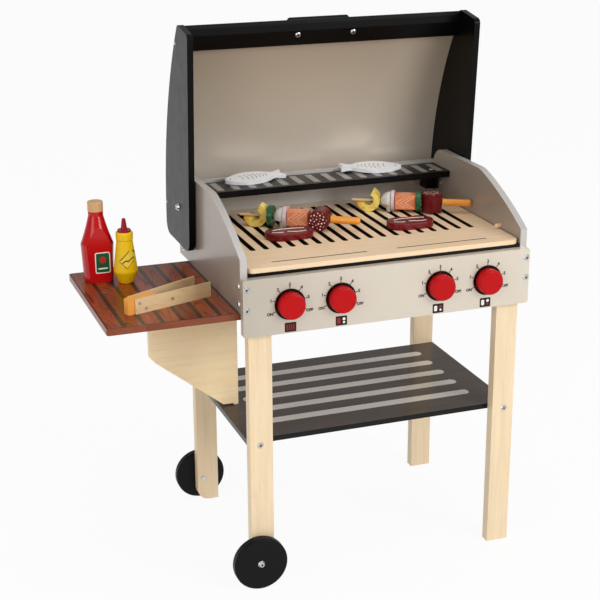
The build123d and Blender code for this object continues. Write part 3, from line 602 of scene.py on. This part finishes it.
class GRILL_OT_lid(bpy.types.Operator):
    """Finishes the lid: black outside, silver inside with painted shade"""

    bl_idname = "grill.lid"
    bl_label = "Lid"

    def execute(self, context):
        c = colours()
        f = Finish("lid_lacquer", 0.3, shine=0.2)
        cloud = f.noise(7.0, detail=3.0)
        fleck = f.noise(2600.0, detail=1.0)
        low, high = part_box("lid_skin")
        # Painted shade and reflection: the silver inside is painted lightest at the bottom and
        # darker towards the top of the lid.
        inner_shade_height = f.maths("DIVIDE", f.along((0, 0, 1), low), high[2] - low[2])
        inside = f.ramp(inner_shade_height, ((0.0, tint(228, 218, 206)), (0.3, tint(222, 211, 196)),
                                (0.65, tint(200, 187, 168)), (1.0, tint(164, 146, 126))))
        inside = f.mix(f.maths("MULTIPLY", cloud, 0.2), inside, c.body)
        inside = f.mix(f.ramp(fleck, ((0.42, 0.0), (0.7, 0.3))), inside, shade(c.body, 1.3))
        middle = spot(*LID_MIDDLE)
        centred = f.node("ShaderNodeVectorMath", {
            0: f.coordinates.outputs["Object"], 1: (0, middle.y, middle.z)},
            operation="SUBTRACT")
        flat = f.node("ShaderNodeVectorMath", {
            0: centred.outputs["Vector"], 1: (0, 1, 1)}, operation="MULTIPLY")
        away = f.node("ShaderNodeVectorMath", {0: flat.outputs["Vector"]},
                      operation="NORMALIZE")
        outward = f.node("ShaderNodeVectorMath", {
            0: away.outputs["Vector"], 1: f.coordinates.outputs["Normal"]},
            operation="DOT_PRODUCT").outputs["Value"]
        inner = f.maths("LESS_THAN", outward, -0.5)
        f.paint(f.mix(inner, f.mix(cloud, shade(c.black, 0.8), shade(c.black, 1.4)), inside))
        f.tree.links.new(f.maths("MULTIPLY", inner, 0.25), f.shader.inputs["Metallic"])
        f.rough(cloud, 0.26, 0.36)
        f.bump(f.noise(420.0, detail=2.0), 0.12, 0.0002)
        dress(f.material, "lid_skin")
        dress(black_board("lid_side_paint", c.black, 0.3, 0.1), "lid_side_left",
              "lid_side_right")
        return {"FINISHED"}


class GRILL_OT_shelf_stripes(bpy.types.Operator):
    """Prints the pale stripes on the lower shelf"""

    bl_idname = "grill.shelf_stripes"
    bl_label = "Shelf stripes"

    def execute(self, context):
        width = sizes().shelf_stripe / MM
        stripes = [put(slab(SHELF_STRIPE_LENGTH, width, corner=width * 0.45),
                       spot(0, y, SHELF_TOP)) for y in SHELF_STRIPE_Y]
        finish = lacquer("stripe_print", colours().stripe, roughness=0.3)
        gather("shelf_stripes", stripes, finish, "cabinet")
        return {"FINISHED"}


class GRILL_OT_rack_strips(bpy.types.Operator):
    """Prints the silver strips that cross the upper rack"""

    bl_idname = "grill.rack_strips"
    bl_label = "Rack strips"

    def execute(self, context):
        s = sizes()
        low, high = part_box("upper_rack")
        width = s.rack_strip / MM
        deep = (high[1] - low[1]) / MM - RACK_STRIP_MARGIN
        pitch = (high[0] - low[0]) / MM / s.rack_count
        strips = []
        for i in range(s.rack_count):
            x = (i - (s.rack_count - 1) / 2) * pitch
            strips.append(put(slab(width, deep, corner=1.5), spot(x, RACK_MIDDLE_Y, RACK_TOP)))
        finish = lacquer("rack_print", shade(colours().stripe, 0.4), roughness=0.3)
        gather("rack_strips", strips, finish, "cabinet")
        return {"FINISHED"}


class GRILL_OT_dials(bpy.types.Operator):
    """Prints each knob's ticks, numbers and the tile under it"""

    bl_idname = "grill.dials"
    bl_label = "Dials"

    def execute(self, context):
        s = sizes()
        tick = s.tick / MM
        ticks, letters, tiles, red, white = [], [], [], [], []
        words = ("ON", "1", "2", "3", "4", "5", "OFF")
        for x in KNOB_X:
            for i, word in enumerate(words):
                angle = math.radians(DIAL_START + DIAL_STEP * i)
                way = (math.sin(angle), math.cos(angle))
                turn = -math.degrees(angle)
                for radius, size, face in ((*BEZEL_TICK, BEZEL_FACE), (*PANEL_TICK, 0.0)):
                    place = spot(x + way[0] * radius, face, KNOB_Z + way[1] * radius)
                    ticks.append(put(slab(tick, size), place, FRONT, turn))
                far = DIGIT_RADIUS if len(word) == 1 else WORD_RADIUS
                place = spot(x + way[0] * far, -PRINT / 2, KNOB_Z + way[1] * far)
                height = s.digit if len(word) == 1 else s.digit * WORD_SCALE
                letters.append(put(lettering(word, height), place, FRONT))
        for number, x in enumerate(TILE_X):
            tiles.append(put(slab(15.0, 12.2, corner=1.2), spot(x, 0, TILE_Z), FRONT))
            face = -PRINT
            if number == 0:
                red += [put(slab(1.3, 7.4), spot(x + k * 2.9, face, TILE_Z), FRONT)
                        for k in (-1.5, -0.5, 0.5, 1.5)]
                continue
            block = put(slab(4.2, 7.0, corner=0.8), spot(x - TILE_SIDE, face, TILE_Z), FRONT)
            (red if number == 1 else white).append(block)
            high = put(disc(1.9), spot(x + TILE_SIDE, face, TILE_Z + 2.0), FRONT)
            low = put(disc(1.5), spot(x + TILE_SIDE, face, TILE_Z - 2.3), FRONT)
            (white if number != 2 else red).append(high)
            (white if number != 3 else red).append(low)
        ink = gloss("dial_ink", tint(28, 24, 24), 0.5, 0.0)
        dark_red = gloss("tick_red", tint(70, 20, 18), 0.5, 0.0)
        gather("dial_ticks", ticks, dark_red, "cabinet")
        gather("dial_letters", letters, ink, "cabinet")
        gather("dial_tiles", tiles, ink, "cabinet")
        gather("tile_marks_red", red, gloss("tile_red", tint(170, 30, 32), 0.5, 0.0),
               "cabinet")
        gather("tile_marks_white", white, gloss("tile_white", tint(238, 236, 232), 0.5, 0.0),
               "cabinet")
        return {"FINISHED"}


class GRILL_OT_knobs(bpy.types.Operator):
    """Paints the knobs and sets the dot that points at the dial"""

    bl_idname = "grill.knobs"
    bl_label = "Knobs"

    def execute(self, context):
        dress(gloss("knob_paint", colours().red, 0.3, 0.0, 0.1, 0.15), "knob_1", "knob_2",
              "knob_3", "knob_4")
        ink = gloss("pointer_ink", tint(40, 10, 10), 0.5, 0.0)
        angle = math.radians(DOT_ANGLE)
        for number, x in enumerate(KNOB_X, 1):
            place = spot(x + math.sin(angle) * DOT_RADIUS, KNOB_FACE,
                         KNOB_Z + math.cos(angle) * DOT_RADIUS)
            gather(f"knob_{number}_dot", [put(disc(0.9), place, FRONT)], ink,
                   f"knob_{number}")
        return {"FINISHED"}


class GRILL_OT_fixings(bpy.types.Operator):
    """Finishes the metal fixings and lays near-black sheets on their heads as painted shade in
    the slots and sockets
    """

    bl_idname = "grill.fixings"
    bl_label = "Fixings"

    def execute(self, context):
        dress(zinc("zinc_plate"), "lid_screws", "wood_screws", "pivot_bolts", "washers",
              "knob_clips", "wheel_axles")
        dress(zinc("rivet_steel", (0.58, 0.50, 0.38)), "tongs_rivets")
        marks = []
        heads = []
        for side, facing in ((-1, LEFT), (1, RIGHT)):
            edge = side * 188.0
            heads += [((edge, -1.5, z), FRONT) for z in (378.6, 405.0)]
            heads += [((edge, 286.5, z), BACK) for z in (390.0, 455.0)]
            heads += [((side * 194.0, y, z), facing) for y in (17.0, 269.0)
                      for z in (383.0, 405.5)]
            heads += [((side * 170.0, 8.5, 195.5), FRONT), ((side * 170.0, 277.5, 195.5), BACK)]
        heads += [((-188.0, y, 362.0), UNDER) for y in (60.0, 180.0, 225.0)]
        for place, facing in heads:
            marks += [put(slab(4.4, 1.1, SHADE_SHEET), spot(*place), facing, turn) for turn in CROSS]
        sockets = [((side * 205.8, *PIVOT), LEFT if side < 0 else RIGHT) for side in (-1, 1)]
        sockets += [((-175.0, -5.8, 35.5), FRONT), ((-175.0, 291.8, 35.5), BACK)]
        marks += [put(disc(1.7, SHADE_SHEET, 6), spot(*place), facing) for place, facing in sockets]
        # Painted shade: near-black sheets stand where the cross slots and hex sockets would hold
        # shade.
        dark = zinc("socket_shadow", (0.03, 0.03, 0.03))
        gather("fixing_slot_shade", marks, dark, "cabinet")
        rail = Matrix.Rotation(RAIL_TILT, 4, "X") @ FRONT
        lid_screw_shade = [put(slab(4.4, 1.1, SHADE_SHEET), spot(x, *RAIL_SCREW), rail, turn)
                for x in RAIL_SCREW_X for turn in CROSS]
        gather("lid_screw_slot_shade", lid_screw_shade, dark, "lid")
        return {"FINISHED"}


class GRILL_OT_side_table(bpy.types.Operator):
    """Prints the planks on the side table"""

    bl_idname = "grill.side_table"
    bl_label = "Side table"

    def execute(self, context):
        c = colours()
        f = Finish("plank_print", 0.26, 0.1, coat_roughness=0.1)
        low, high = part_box("side_table")
        pitch = PLANK_PITCH * MM
        across = f.along((1, 0, 0), (low[0], 0, 0))
        share = f.maths("FRACT", f.maths("DIVIDE", across, pitch))
        number = f.maths("FLOOR", f.maths("DIVIDE", across, pitch))
        seed = f.node("ShaderNodeCombineXYZ", {"Z": f.maths("MULTIPLY", number, 0.37)})
        moved = f.node("ShaderNodeVectorMath", {
            0: f.coordinates.outputs["Object"], 1: seed.outputs["Vector"]}, operation="ADD")
        stretched = f.node("ShaderNodeMapping", {
            "Vector": moved.outputs["Vector"], "Scale": (1, 0.22, 1)}).outputs["Vector"]
        tone = f.node("ShaderNodeTexWhiteNoise", {"W": number}, noise_dimensions="1D")
        body = f.mix(tone.outputs["Value"], shade(c.plank, 0.72), shade(c.plank, 1.35))
        cloud = f.noise(22.0, stretched, 3.0, 1.0)
        body = f.mix(f.ramp(cloud, ((0.35, 0.0), (0.7, 0.55))), body, tint(180, 92, 42))
        figure = f.noise(20.0, stretched, 1.0, 0.8)
        line = f.maths("PINGPONG", f.maths("MULTIPLY", figure, 14.0), 0.5)
        body = f.mix(f.ramp(line, ((0.0, 0.9), (0.12, 0.0))), body, shade(c.plank, 0.16))
        gap = f.ramp(share, ((0.0, 1.0), (0.03, 1.0), (0.045, 0.0), (0.80, 0.0),
                             (0.815, 1.0), (1.0, 1.0)))
        rise = f.maths("GREATER_THAN", f.along((0, 0, 1), socket="Normal"), 0.5)
        gap_on_top = f.maths("MULTIPLY", gap, rise)
        body = f.mix(gap_on_top, body, c.plank_gap)
        rim = f.maths("LESS_THAN", across, PLANK_RIM * MM)
        for start, way in ((low, 1), (high, -1)):
            near = f.maths("LESS_THAN", f.along((0, way, 0), start), PLANK_RIM * MM)
            rim = f.maths("MAXIMUM", rim, near)
        body = f.mix(rim, body, tint(74, 34, 20))
        edge = f.maths("LESS_THAN", f.along((0, 0, 1), socket="Normal"), 0.5)
        f.paint(f.mix(edge, body, f.mix(cloud, tint(104, 44, 24), tint(150, 76, 40))))
        f.rough(cloud, 0.24, 0.4)
        f.bump(f.noise(260.0, stretched, 3.0), 0.1, 0.0002)
        dress(f.material, "side_table")
        return {"FINISHED"}


class GRILL_OT_bottles(bpy.types.Operator):
    """Paints the bottles and prints their labels"""

    bl_idname = "grill.bottles"
    bl_label = "Bottles"

    def execute(self, context):
        c = colours()
        dress(gloss("ketchup_paint", c.red, 0.16, 0.12, 0.1, 0.3), "ketchup_bottle")
        dress(plywood("cap_wood", tint(212, 168, 116), "Z"), "ketchup_cap")
        dress(gloss("mustard_paint", c.yellow, 0.2, 0.1), "mustard_bottle")
        dress(gloss("nozzle_paint", tint(150, 12, 20), 0.2, 0.1), "mustard_nozzle")
        x, y = KETCHUP[0] + 3.4, KETCHUP[1] - 13.5
        z = TABLE_TOP + 26.5
        white = put(slab(19.7, 28.0, corner=2.5), spot(x, y, z), FRONT)
        green = put(slab(17.0, 25.2, corner=1.6), spot(x, y - PRINT, z), FRONT)
        spot_red = put(disc(4.4), spot(x, y - 2 * PRINT, z + 4.0), FRONT)
        bar = put(slab(12.6, 1.9, corner=0.8), spot(x, y - 2 * PRINT, z - 7.6), FRONT)
        gather("ketchup_label_rim", [white, bar], gloss("label_white", tint(232, 228, 218), 0.4,
               0.1), "ketchup")
        gather("ketchup_label", [green], gloss("label_green", tint(24, 84, 48), 0.4, 0.1),
               "ketchup")
        gather("ketchup_label_spot", [spot_red], gloss("label_red", tint(180, 44, 40), 0.4, 0.1),
               "ketchup")
        self.shield(nodes["mustard_bottle"])
        return {"FINISHED"}

    def shield(self, bottle):
        """A brown-rimmed yellow shield and a wavy line, laid on the mustard bottle."""
        place = spot(MUSTARD[0] + 1.2, MUSTARD[1] - 25.0, TABLE_TOP + 31.0)
        corners = [(-9.0, 12.0), (8.0, 13.0), (11.0, 4.0), (7.0, -9.0), (1.5, -13.5),
                   (-5.5, -10.5), (-10.5, 2.0)]
        brown = gloss("label_brown", tint(110, 52, 14), 0.45, 0.0)
        pale = gloss("label_yellow", tint(250, 214, 66), 0.4, 0.2)
        rim = wrapped(patch(corners, 22.0, 27.0), bottle, place, 0.1)
        inner = wrapped(patch([(x * 0.88, y * 0.9) for x, y in corners], 22.0, 27.0),
                        bottle, place, 0.18)
        wave = [(-8.0, -2.0), (-4.0, 1.0), (0.0, 0.5), (4.0, 3.6), (8.0, 5.0)]
        band = [(x, y + 0.9) for x, y in wave] + [(x, y - 0.9) for x, y in reversed(wave)]
        line = wrapped(ribbon(band), bottle, place, 0.26)
        gather("mustard_label_rim", [rim, line], brown, "mustard")
        gather("mustard_label", [inner], pale, "mustard")


class GRILL_OT_tongs(bpy.types.Operator):
    """Finishes the tongs"""

    bl_idname = "grill.tongs"
    bl_label = "Tongs"

    def execute(self, context):
        dress(gloss("tongs_orange", tint(248, 168, 74), 0.3, 0.1), "tongs_block")
        dress(plywood("tongs_plywood", tint(232, 204, 158), "X", 0.88), "tongs_blade_front",
              "tongs_blade_back")
        return {"FINISHED"}


class GRILL_OT_fish(bpy.types.Operator):
    """Paints the fish and the curved marks on them"""

    bl_idname = "grill.fish"
    bl_label = "Fish"

    def execute(self, context):
        dress(gloss("fish_paint", tint(250, 251, 253), 0.3, 0.1, 0.02), "fish_1", "fish_2")
        grey = gloss("fish_marks", tint(104, 106, 110), 0.4, 0.2)
        rise, run = math.sin(FISH_TILT), math.cos(FISH_TILT)
        lean = Matrix.Rotation(FISH_TILT, 4, "X")
        y = FISH_FRONT + run * FISH_HALF - rise * FISH_THICK
        z = RACK_TOP + FISH_GAP + rise * FISH_HALF + run * FISH_THICK
        for number, (x, turn) in FISH.items():
            marks = []
            for at, half in ((-19.0, 7.5), (-11.5, 8.6), (-5.0, 9.4), (1.0, 8.6), (7.0, 7.0),
                             (12.5, 5.2), (17.5, 3.4)):
                arc = [(at - 1.6, -half), (at + 0.2, -half / 2), (at + 0.9, 0),
                       (at + 0.2, half / 2), (at - 1.6, half)]
                marks.append(put(stroke(arc, 0.8), spot(x, y, z), lean, turn))
            eye = disc(1.2)
            eye.location = (-36.0 * MM, 1.0 * MM, 0)
            bpy.context.view_layer.update()
            marks.append(put(eye, spot(x, y, z), lean, turn))
            gather(f"fish_{number}_marks", marks, grey, f"fish_{number}")
        return {"FINISHED"}


class GRILL_OT_steaks(bpy.types.Operator):
    """Paints the steaks and their white fat"""

    bl_idname = "grill.steaks"
    bl_label = "Steaks"

    def execute(self, context):
        c = colours()
        dress(gloss("steak_paint", c.steak, 0.22, 0.1, 0.2), "steak_1", "steak_2")
        fat = gloss("steak_fat", tint(240, 226, 220), 0.35, 0.4, 0.05)
        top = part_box("steak_1")[1][2] / MM
        for number, at in STEAKS.items():
            lines = [
                stroke([(-21, 5), (-12, 8), (0, 7.5), (12, 7), (22, 4.5)], 3.2, 0.3),
                stroke([(-24, -3), (-20, -6), (-16, -7), (-12, -7), (-10, -6.5)], 2.2, 0.3),
                stroke([(-4, -5), (4, -8), (10, -9), (16, -9), (20, -8)], 3.0, 0.3),
            ]
            lines = [put(line, spot(*at, top)) for line in lines]
            gather(f"steak_{number}_fat", lines, fat, f"steak_{number}")
        return {"FINISHED"}


class GRILL_OT_skewers(bpy.types.Operator):
    """Paints the skewers' sticks and toppings"""

    bl_idname = "grill.skewers"
    bl_label = "Skewers"

    def execute(self, context):
        c = colours()
        for number, (at, turn) in SKEWERS.items():
            tip = spot(*at, SKEWER_Z)
            turned = math.radians(turn)
            way = (math.cos(turned), math.sin(turned), 0)
            name = f"skewer_{number}_"
            f = Finish(name + "stick_paint", 0.35, 0.3)
            distance = f.along(way, tip)
            streak = f.noise(300.0, detail=4.0)
            bare = f.mix(streak, tint(214, 180, 130), tint(240, 214, 170))
            orange = f.mix(streak, tint(238, 142, 34), tint(250, 170, 62))
            f.paint(f.mix(f.maths("GREATER_THAN", distance, STICK_GRIP * MM), bare, orange))
            f.bump(streak, 0.1, 0.0002)
            dress(f.material, name + "stick")
            f = Finish(name + "shrimp_paint", 0.3, 0.4)
            distance = f.along(way, tip)
            blotch = f.noise(160.0, detail=3.0)
            body = f.ramp(f.maths("DIVIDE", distance, SHRIMP_REACH * MM), (
                (0.17, tint(244, 160, 36)), (0.3, tint(250, 196, 60)),
                (0.42, tint(252, 228, 116)), (1.0, tint(252, 226, 112))))
            f.paint(f.mix(f.ramp(blotch, ((0.56, 0.0), (0.66, 0.7))), body,
                          tint(214, 150, 60)))
            f.bump(blotch, 0.15, 0.0003)
            dress(f.material, name + "shrimp")
            f = Finish(name + "ring_paint", 0.3, 0.4)
            distance = f.along(way, tip)
            cloud = f.noise(60.0, detail=4.0)
            green = f.mix(cloud, tint(10, 70, 40), tint(30, 104, 64))
            lilac = f.mix(cloud, tint(206, 178, 186), tint(230, 210, 214))
            if number == 1:
                onion = f.maths("GREATER_THAN", distance, ONION_START * MM)
            else:
                onion = f.maths("LESS_THAN", distance, ONION_END * MM)
            f.paint(f.mix(onion, green, lilac))
            f.bump(cloud, 0.1, 0.0003)
            dress(f.material, name + "rings")
            dress(gloss(name + "mushroom_paint", tint(226, 222, 214), 0.3, 0.1),
                  name + "mushroom")
            dress(gloss(name + "salmon_paint", c.salmon, 0.35, 0.3), name + "salmon")
            dress(gloss(name + "salami_paint", c.salami, 0.26, 0.1, 0.15), name + "salami")
            self.marks(number, tip, turned)
        return {"FINISHED"}

    def marks(self, number, tip, turned):
        """Fat spots on the salami's two cut faces and chevrons on the salmon."""
        along_stick = Matrix.Translation(tip) @ Matrix.Rotation(turned, 4, "Z")
        half = SALAMI_LENGTH / 2
        if number == 1:
            faces = [((0, -half, 0), FRONT), ((0, half, 0), BACK)]
        else:
            faces = [((0, 0, half), TOP), ((0, 0, -half), UNDER)]
        spots = []
        for place, facing in faces:
            middle = along_stick @ Vector(
                ((SALAMI_START + SALAMI_RADIUS) * MM + place[0], place[1] * MM, place[2] * MM))
            turn = along_stick.to_3x3().to_4x4() @ facing
            for i in range(SALAMI_SPOTS):
                far = (SALAMI_RADIUS - 1.8) * math.sqrt((i + 0.5) / SALAMI_SPOTS)
                angle = i * EVEN_TURN
                dot = disc(0.55 + 0.28 * ((i * 7) % 3), sides=10)
                dot.location = (far * math.cos(angle) * MM, far * math.sin(angle) * MM, 0)
                bpy.context.view_layer.update()
                spots.append(put(dot, middle, turn))
        white = gloss(f"skewer_{number}_fat", tint(240, 224, 214), 0.4, 0.2)
        gather(f"skewer_{number}_spots", spots, white, f"skewer_{number}")
        lines = []
        reach = SALMON_SIZE / 2
        for place, facing in (((0, -reach, 0), FRONT), ((0, 0, reach), TOP)):
            middle = along_stick @ Vector(((SALMON_START[number] + SALMON_LENGTH / 2) * MM,
                                           place[1] * MM, place[2] * MM))
            turn = along_stick.to_3x3().to_4x4() @ facing
            for x in (-12.5, -6.5, -0.5):
                chevron = [(x + 12.5, reach - 2.2), (x + 8.0, reach / 2), (x + 1.5, 0.8),
                           (x, 0.0), (x + 1.5, -0.8), (x + 8.0, -reach / 2),
                           (x + 12.5, 2.2 - reach)]
                lines.append(put(stroke(chevron, 0.9), middle, turn))
        pale = gloss(f"skewer_{number}_chevrons", tint(246, 200, 166), 0.4, 0.2)
        gather(f"skewer_{number}_lines", lines, pale, f"skewer_{number}")


class GRILL_OT_stage(bpy.types.Operator):
    """Sets the floor, the soft light and the camera"""

    bl_idname = "grill.stage"
    bl_label = "Stage"

    def execute(self, context):
        scene = context.scene
        scene.view_settings.view_transform = "Standard"
        clear()
        bpy.ops.mesh.primitive_plane_add(size=60)
        floor = context.object
        floor.name = "floor"
        material = bpy.data.materials.new("floor_white")
        material.use_nodes = True
        tree = material.node_tree
        shader = tree.nodes["Principled BSDF"]
        shader.inputs["Base Color"].default_value = (0.9, 0.9, 0.9, 1)
        shader.inputs["Roughness"].default_value = 0.9
        glow = tree.nodes.new("ShaderNodeEmission")
        path = tree.nodes.new("ShaderNodeLightPath")
        either = tree.nodes.new("ShaderNodeMath")
        either.operation = "MAXIMUM"
        share = tree.nodes.new("ShaderNodeMath")
        share.operation = "MULTIPLY"
        share.inputs[1].default_value = 0.93
        blend = tree.nodes.new("ShaderNodeMixShader")
        tree.links.new(path.outputs["Is Camera Ray"], either.inputs[0])
        tree.links.new(path.outputs["Is Glossy Ray"], either.inputs[1])
        tree.links.new(either.outputs[0], share.inputs[0])
        tree.links.new(share.outputs[0], blend.inputs[0])
        tree.links.new(shader.outputs[0], blend.inputs[1])
        tree.links.new(glow.outputs[0], blend.inputs[2])
        tree.links.new(blend.outputs[0], tree.nodes["Material Output"].inputs["Surface"])
        floor.data.materials.append(material)
        self.light(scene)
        self.camera(scene)
        return {"FINISHED"}

    def light(self, scene):
        world = bpy.data.worlds.new("studio")
        scene.world = world
        world.use_nodes = True
        tree = world.node_tree
        dim = tree.nodes["Background"]
        white = tree.nodes.new("ShaderNodeBackground")
        where = tree.nodes.new("ShaderNodeTexCoord")
        split = tree.nodes.new("ShaderNodeSeparateXYZ")
        ramp = tree.nodes.new("ShaderNodeValToRGB")
        ramp.color_ramp.elements[0].position = 0.0
        ramp.color_ramp.elements[0].color = (0.34, 0.33, 0.32, 1)
        ramp.color_ramp.elements[1].position = 0.75
        ramp.color_ramp.elements[1].color = (0.55, 0.55, 0.55, 1)
        path = tree.nodes.new("ShaderNodeLightPath")
        blend = tree.nodes.new("ShaderNodeMixShader")
        tree.links.new(where.outputs["Generated"], split.inputs[0])
        tree.links.new(split.outputs["Z"], ramp.inputs["Fac"])
        tree.links.new(ramp.outputs["Color"], dim.inputs["Color"])
        tree.links.new(path.outputs["Is Camera Ray"], blend.inputs[0])
        tree.links.new(dim.outputs[0], blend.inputs[1])
        tree.links.new(white.outputs[0], blend.inputs[2])
        tree.links.new(blend.outputs[0], tree.nodes["World Output"].inputs["Surface"])
        white.inputs["Color"].default_value = (1, 1, 1, 1)
        for name, at, size, power in (
            ("key", (1.8, -2.8, 1.7), 1.6, 54.0),
            ("fill", (-2.6, -1.8, 1.2), 1.6, 24.0),
            ("top", (0.2, -0.4, 2.8), 1.6, 9.0),
        ):
            bpy.ops.object.light_add(type="AREA", location=at)
            lamp = bpy.context.object
            lamp.name = name
            lamp.data.size = size
            lamp.data.energy = power
            aim = Vector((0, 0, 0.4)) - Vector(at)
            lamp.rotation_euler = aim.to_track_quat("-Z", "Y").to_euler()

    def camera(self, scene):
        bpy.ops.object.camera_add()
        eye = bpy.context.object
        turn = Matrix((EYE_RIGHT, EYE_UP, EYE_BACK)).transposed().to_4x4()
        eye.matrix_world = Matrix.Translation(spot(*EYE)) @ turn
        eye.data.sensor_width = 36
        eye.data.lens = EYE_LENS
        eye.data.shift_x, eye.data.shift_y = EYE_SHIFT
        eye.data.clip_end = 100
        scene.camera = eye


OPERATORS = (
    GRILL_OT_cabinet, GRILL_OT_woodwork, GRILL_OT_black_boards, GRILL_OT_lid,
    GRILL_OT_shelf_stripes, GRILL_OT_rack_strips, GRILL_OT_dials, GRILL_OT_knobs,
    GRILL_OT_fixings, GRILL_OT_side_table, GRILL_OT_bottles, GRILL_OT_tongs, GRILL_OT_fish,
    GRILL_OT_steaks, GRILL_OT_skewers, GRILL_OT_stage,
)


class GRILL_PT_panel(bpy.types.Panel):
    """Lists the barbecue's pieces and settings"""

    bl_idname = "GRILL_PT_panel"
    bl_label = "Toy Barbecue"
    bl_space_type = "VIEW_3D"
    bl_region_type = "UI"
    bl_category = "Barbecue"

    def draw(self, context):
        for operator in OPERATORS:
            self.layout.operator(operator.bl_idname)
        for group in (context.scene.grill_colours, context.scene.grill_sizes):
            for name in group.__annotations__:
                self.layout.prop(group, name)


CLASSES = (GrillColours, GrillSizes, *OPERATORS, GRILL_PT_panel)


def register():
    for item in CLASSES:
        bpy.utils.register_class(item)
    bpy.types.Scene.grill_colours = bpy.props.PointerProperty(type=GrillColours)
    bpy.types.Scene.grill_sizes = bpy.props.PointerProperty(type=GrillSizes)


def unregister():
    del bpy.types.Scene.grill_sizes
    del bpy.types.Scene.grill_colours
    for item in reversed(CLASSES):
        bpy.utils.unregister_class(item)


def main():
    """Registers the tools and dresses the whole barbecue."""
    register()
    for operator in OPERATORS:
        group, name = operator.bl_idname.split(".")
        getattr(getattr(bpy.ops, group), name)()


if __name__ == "__main__":
    main()
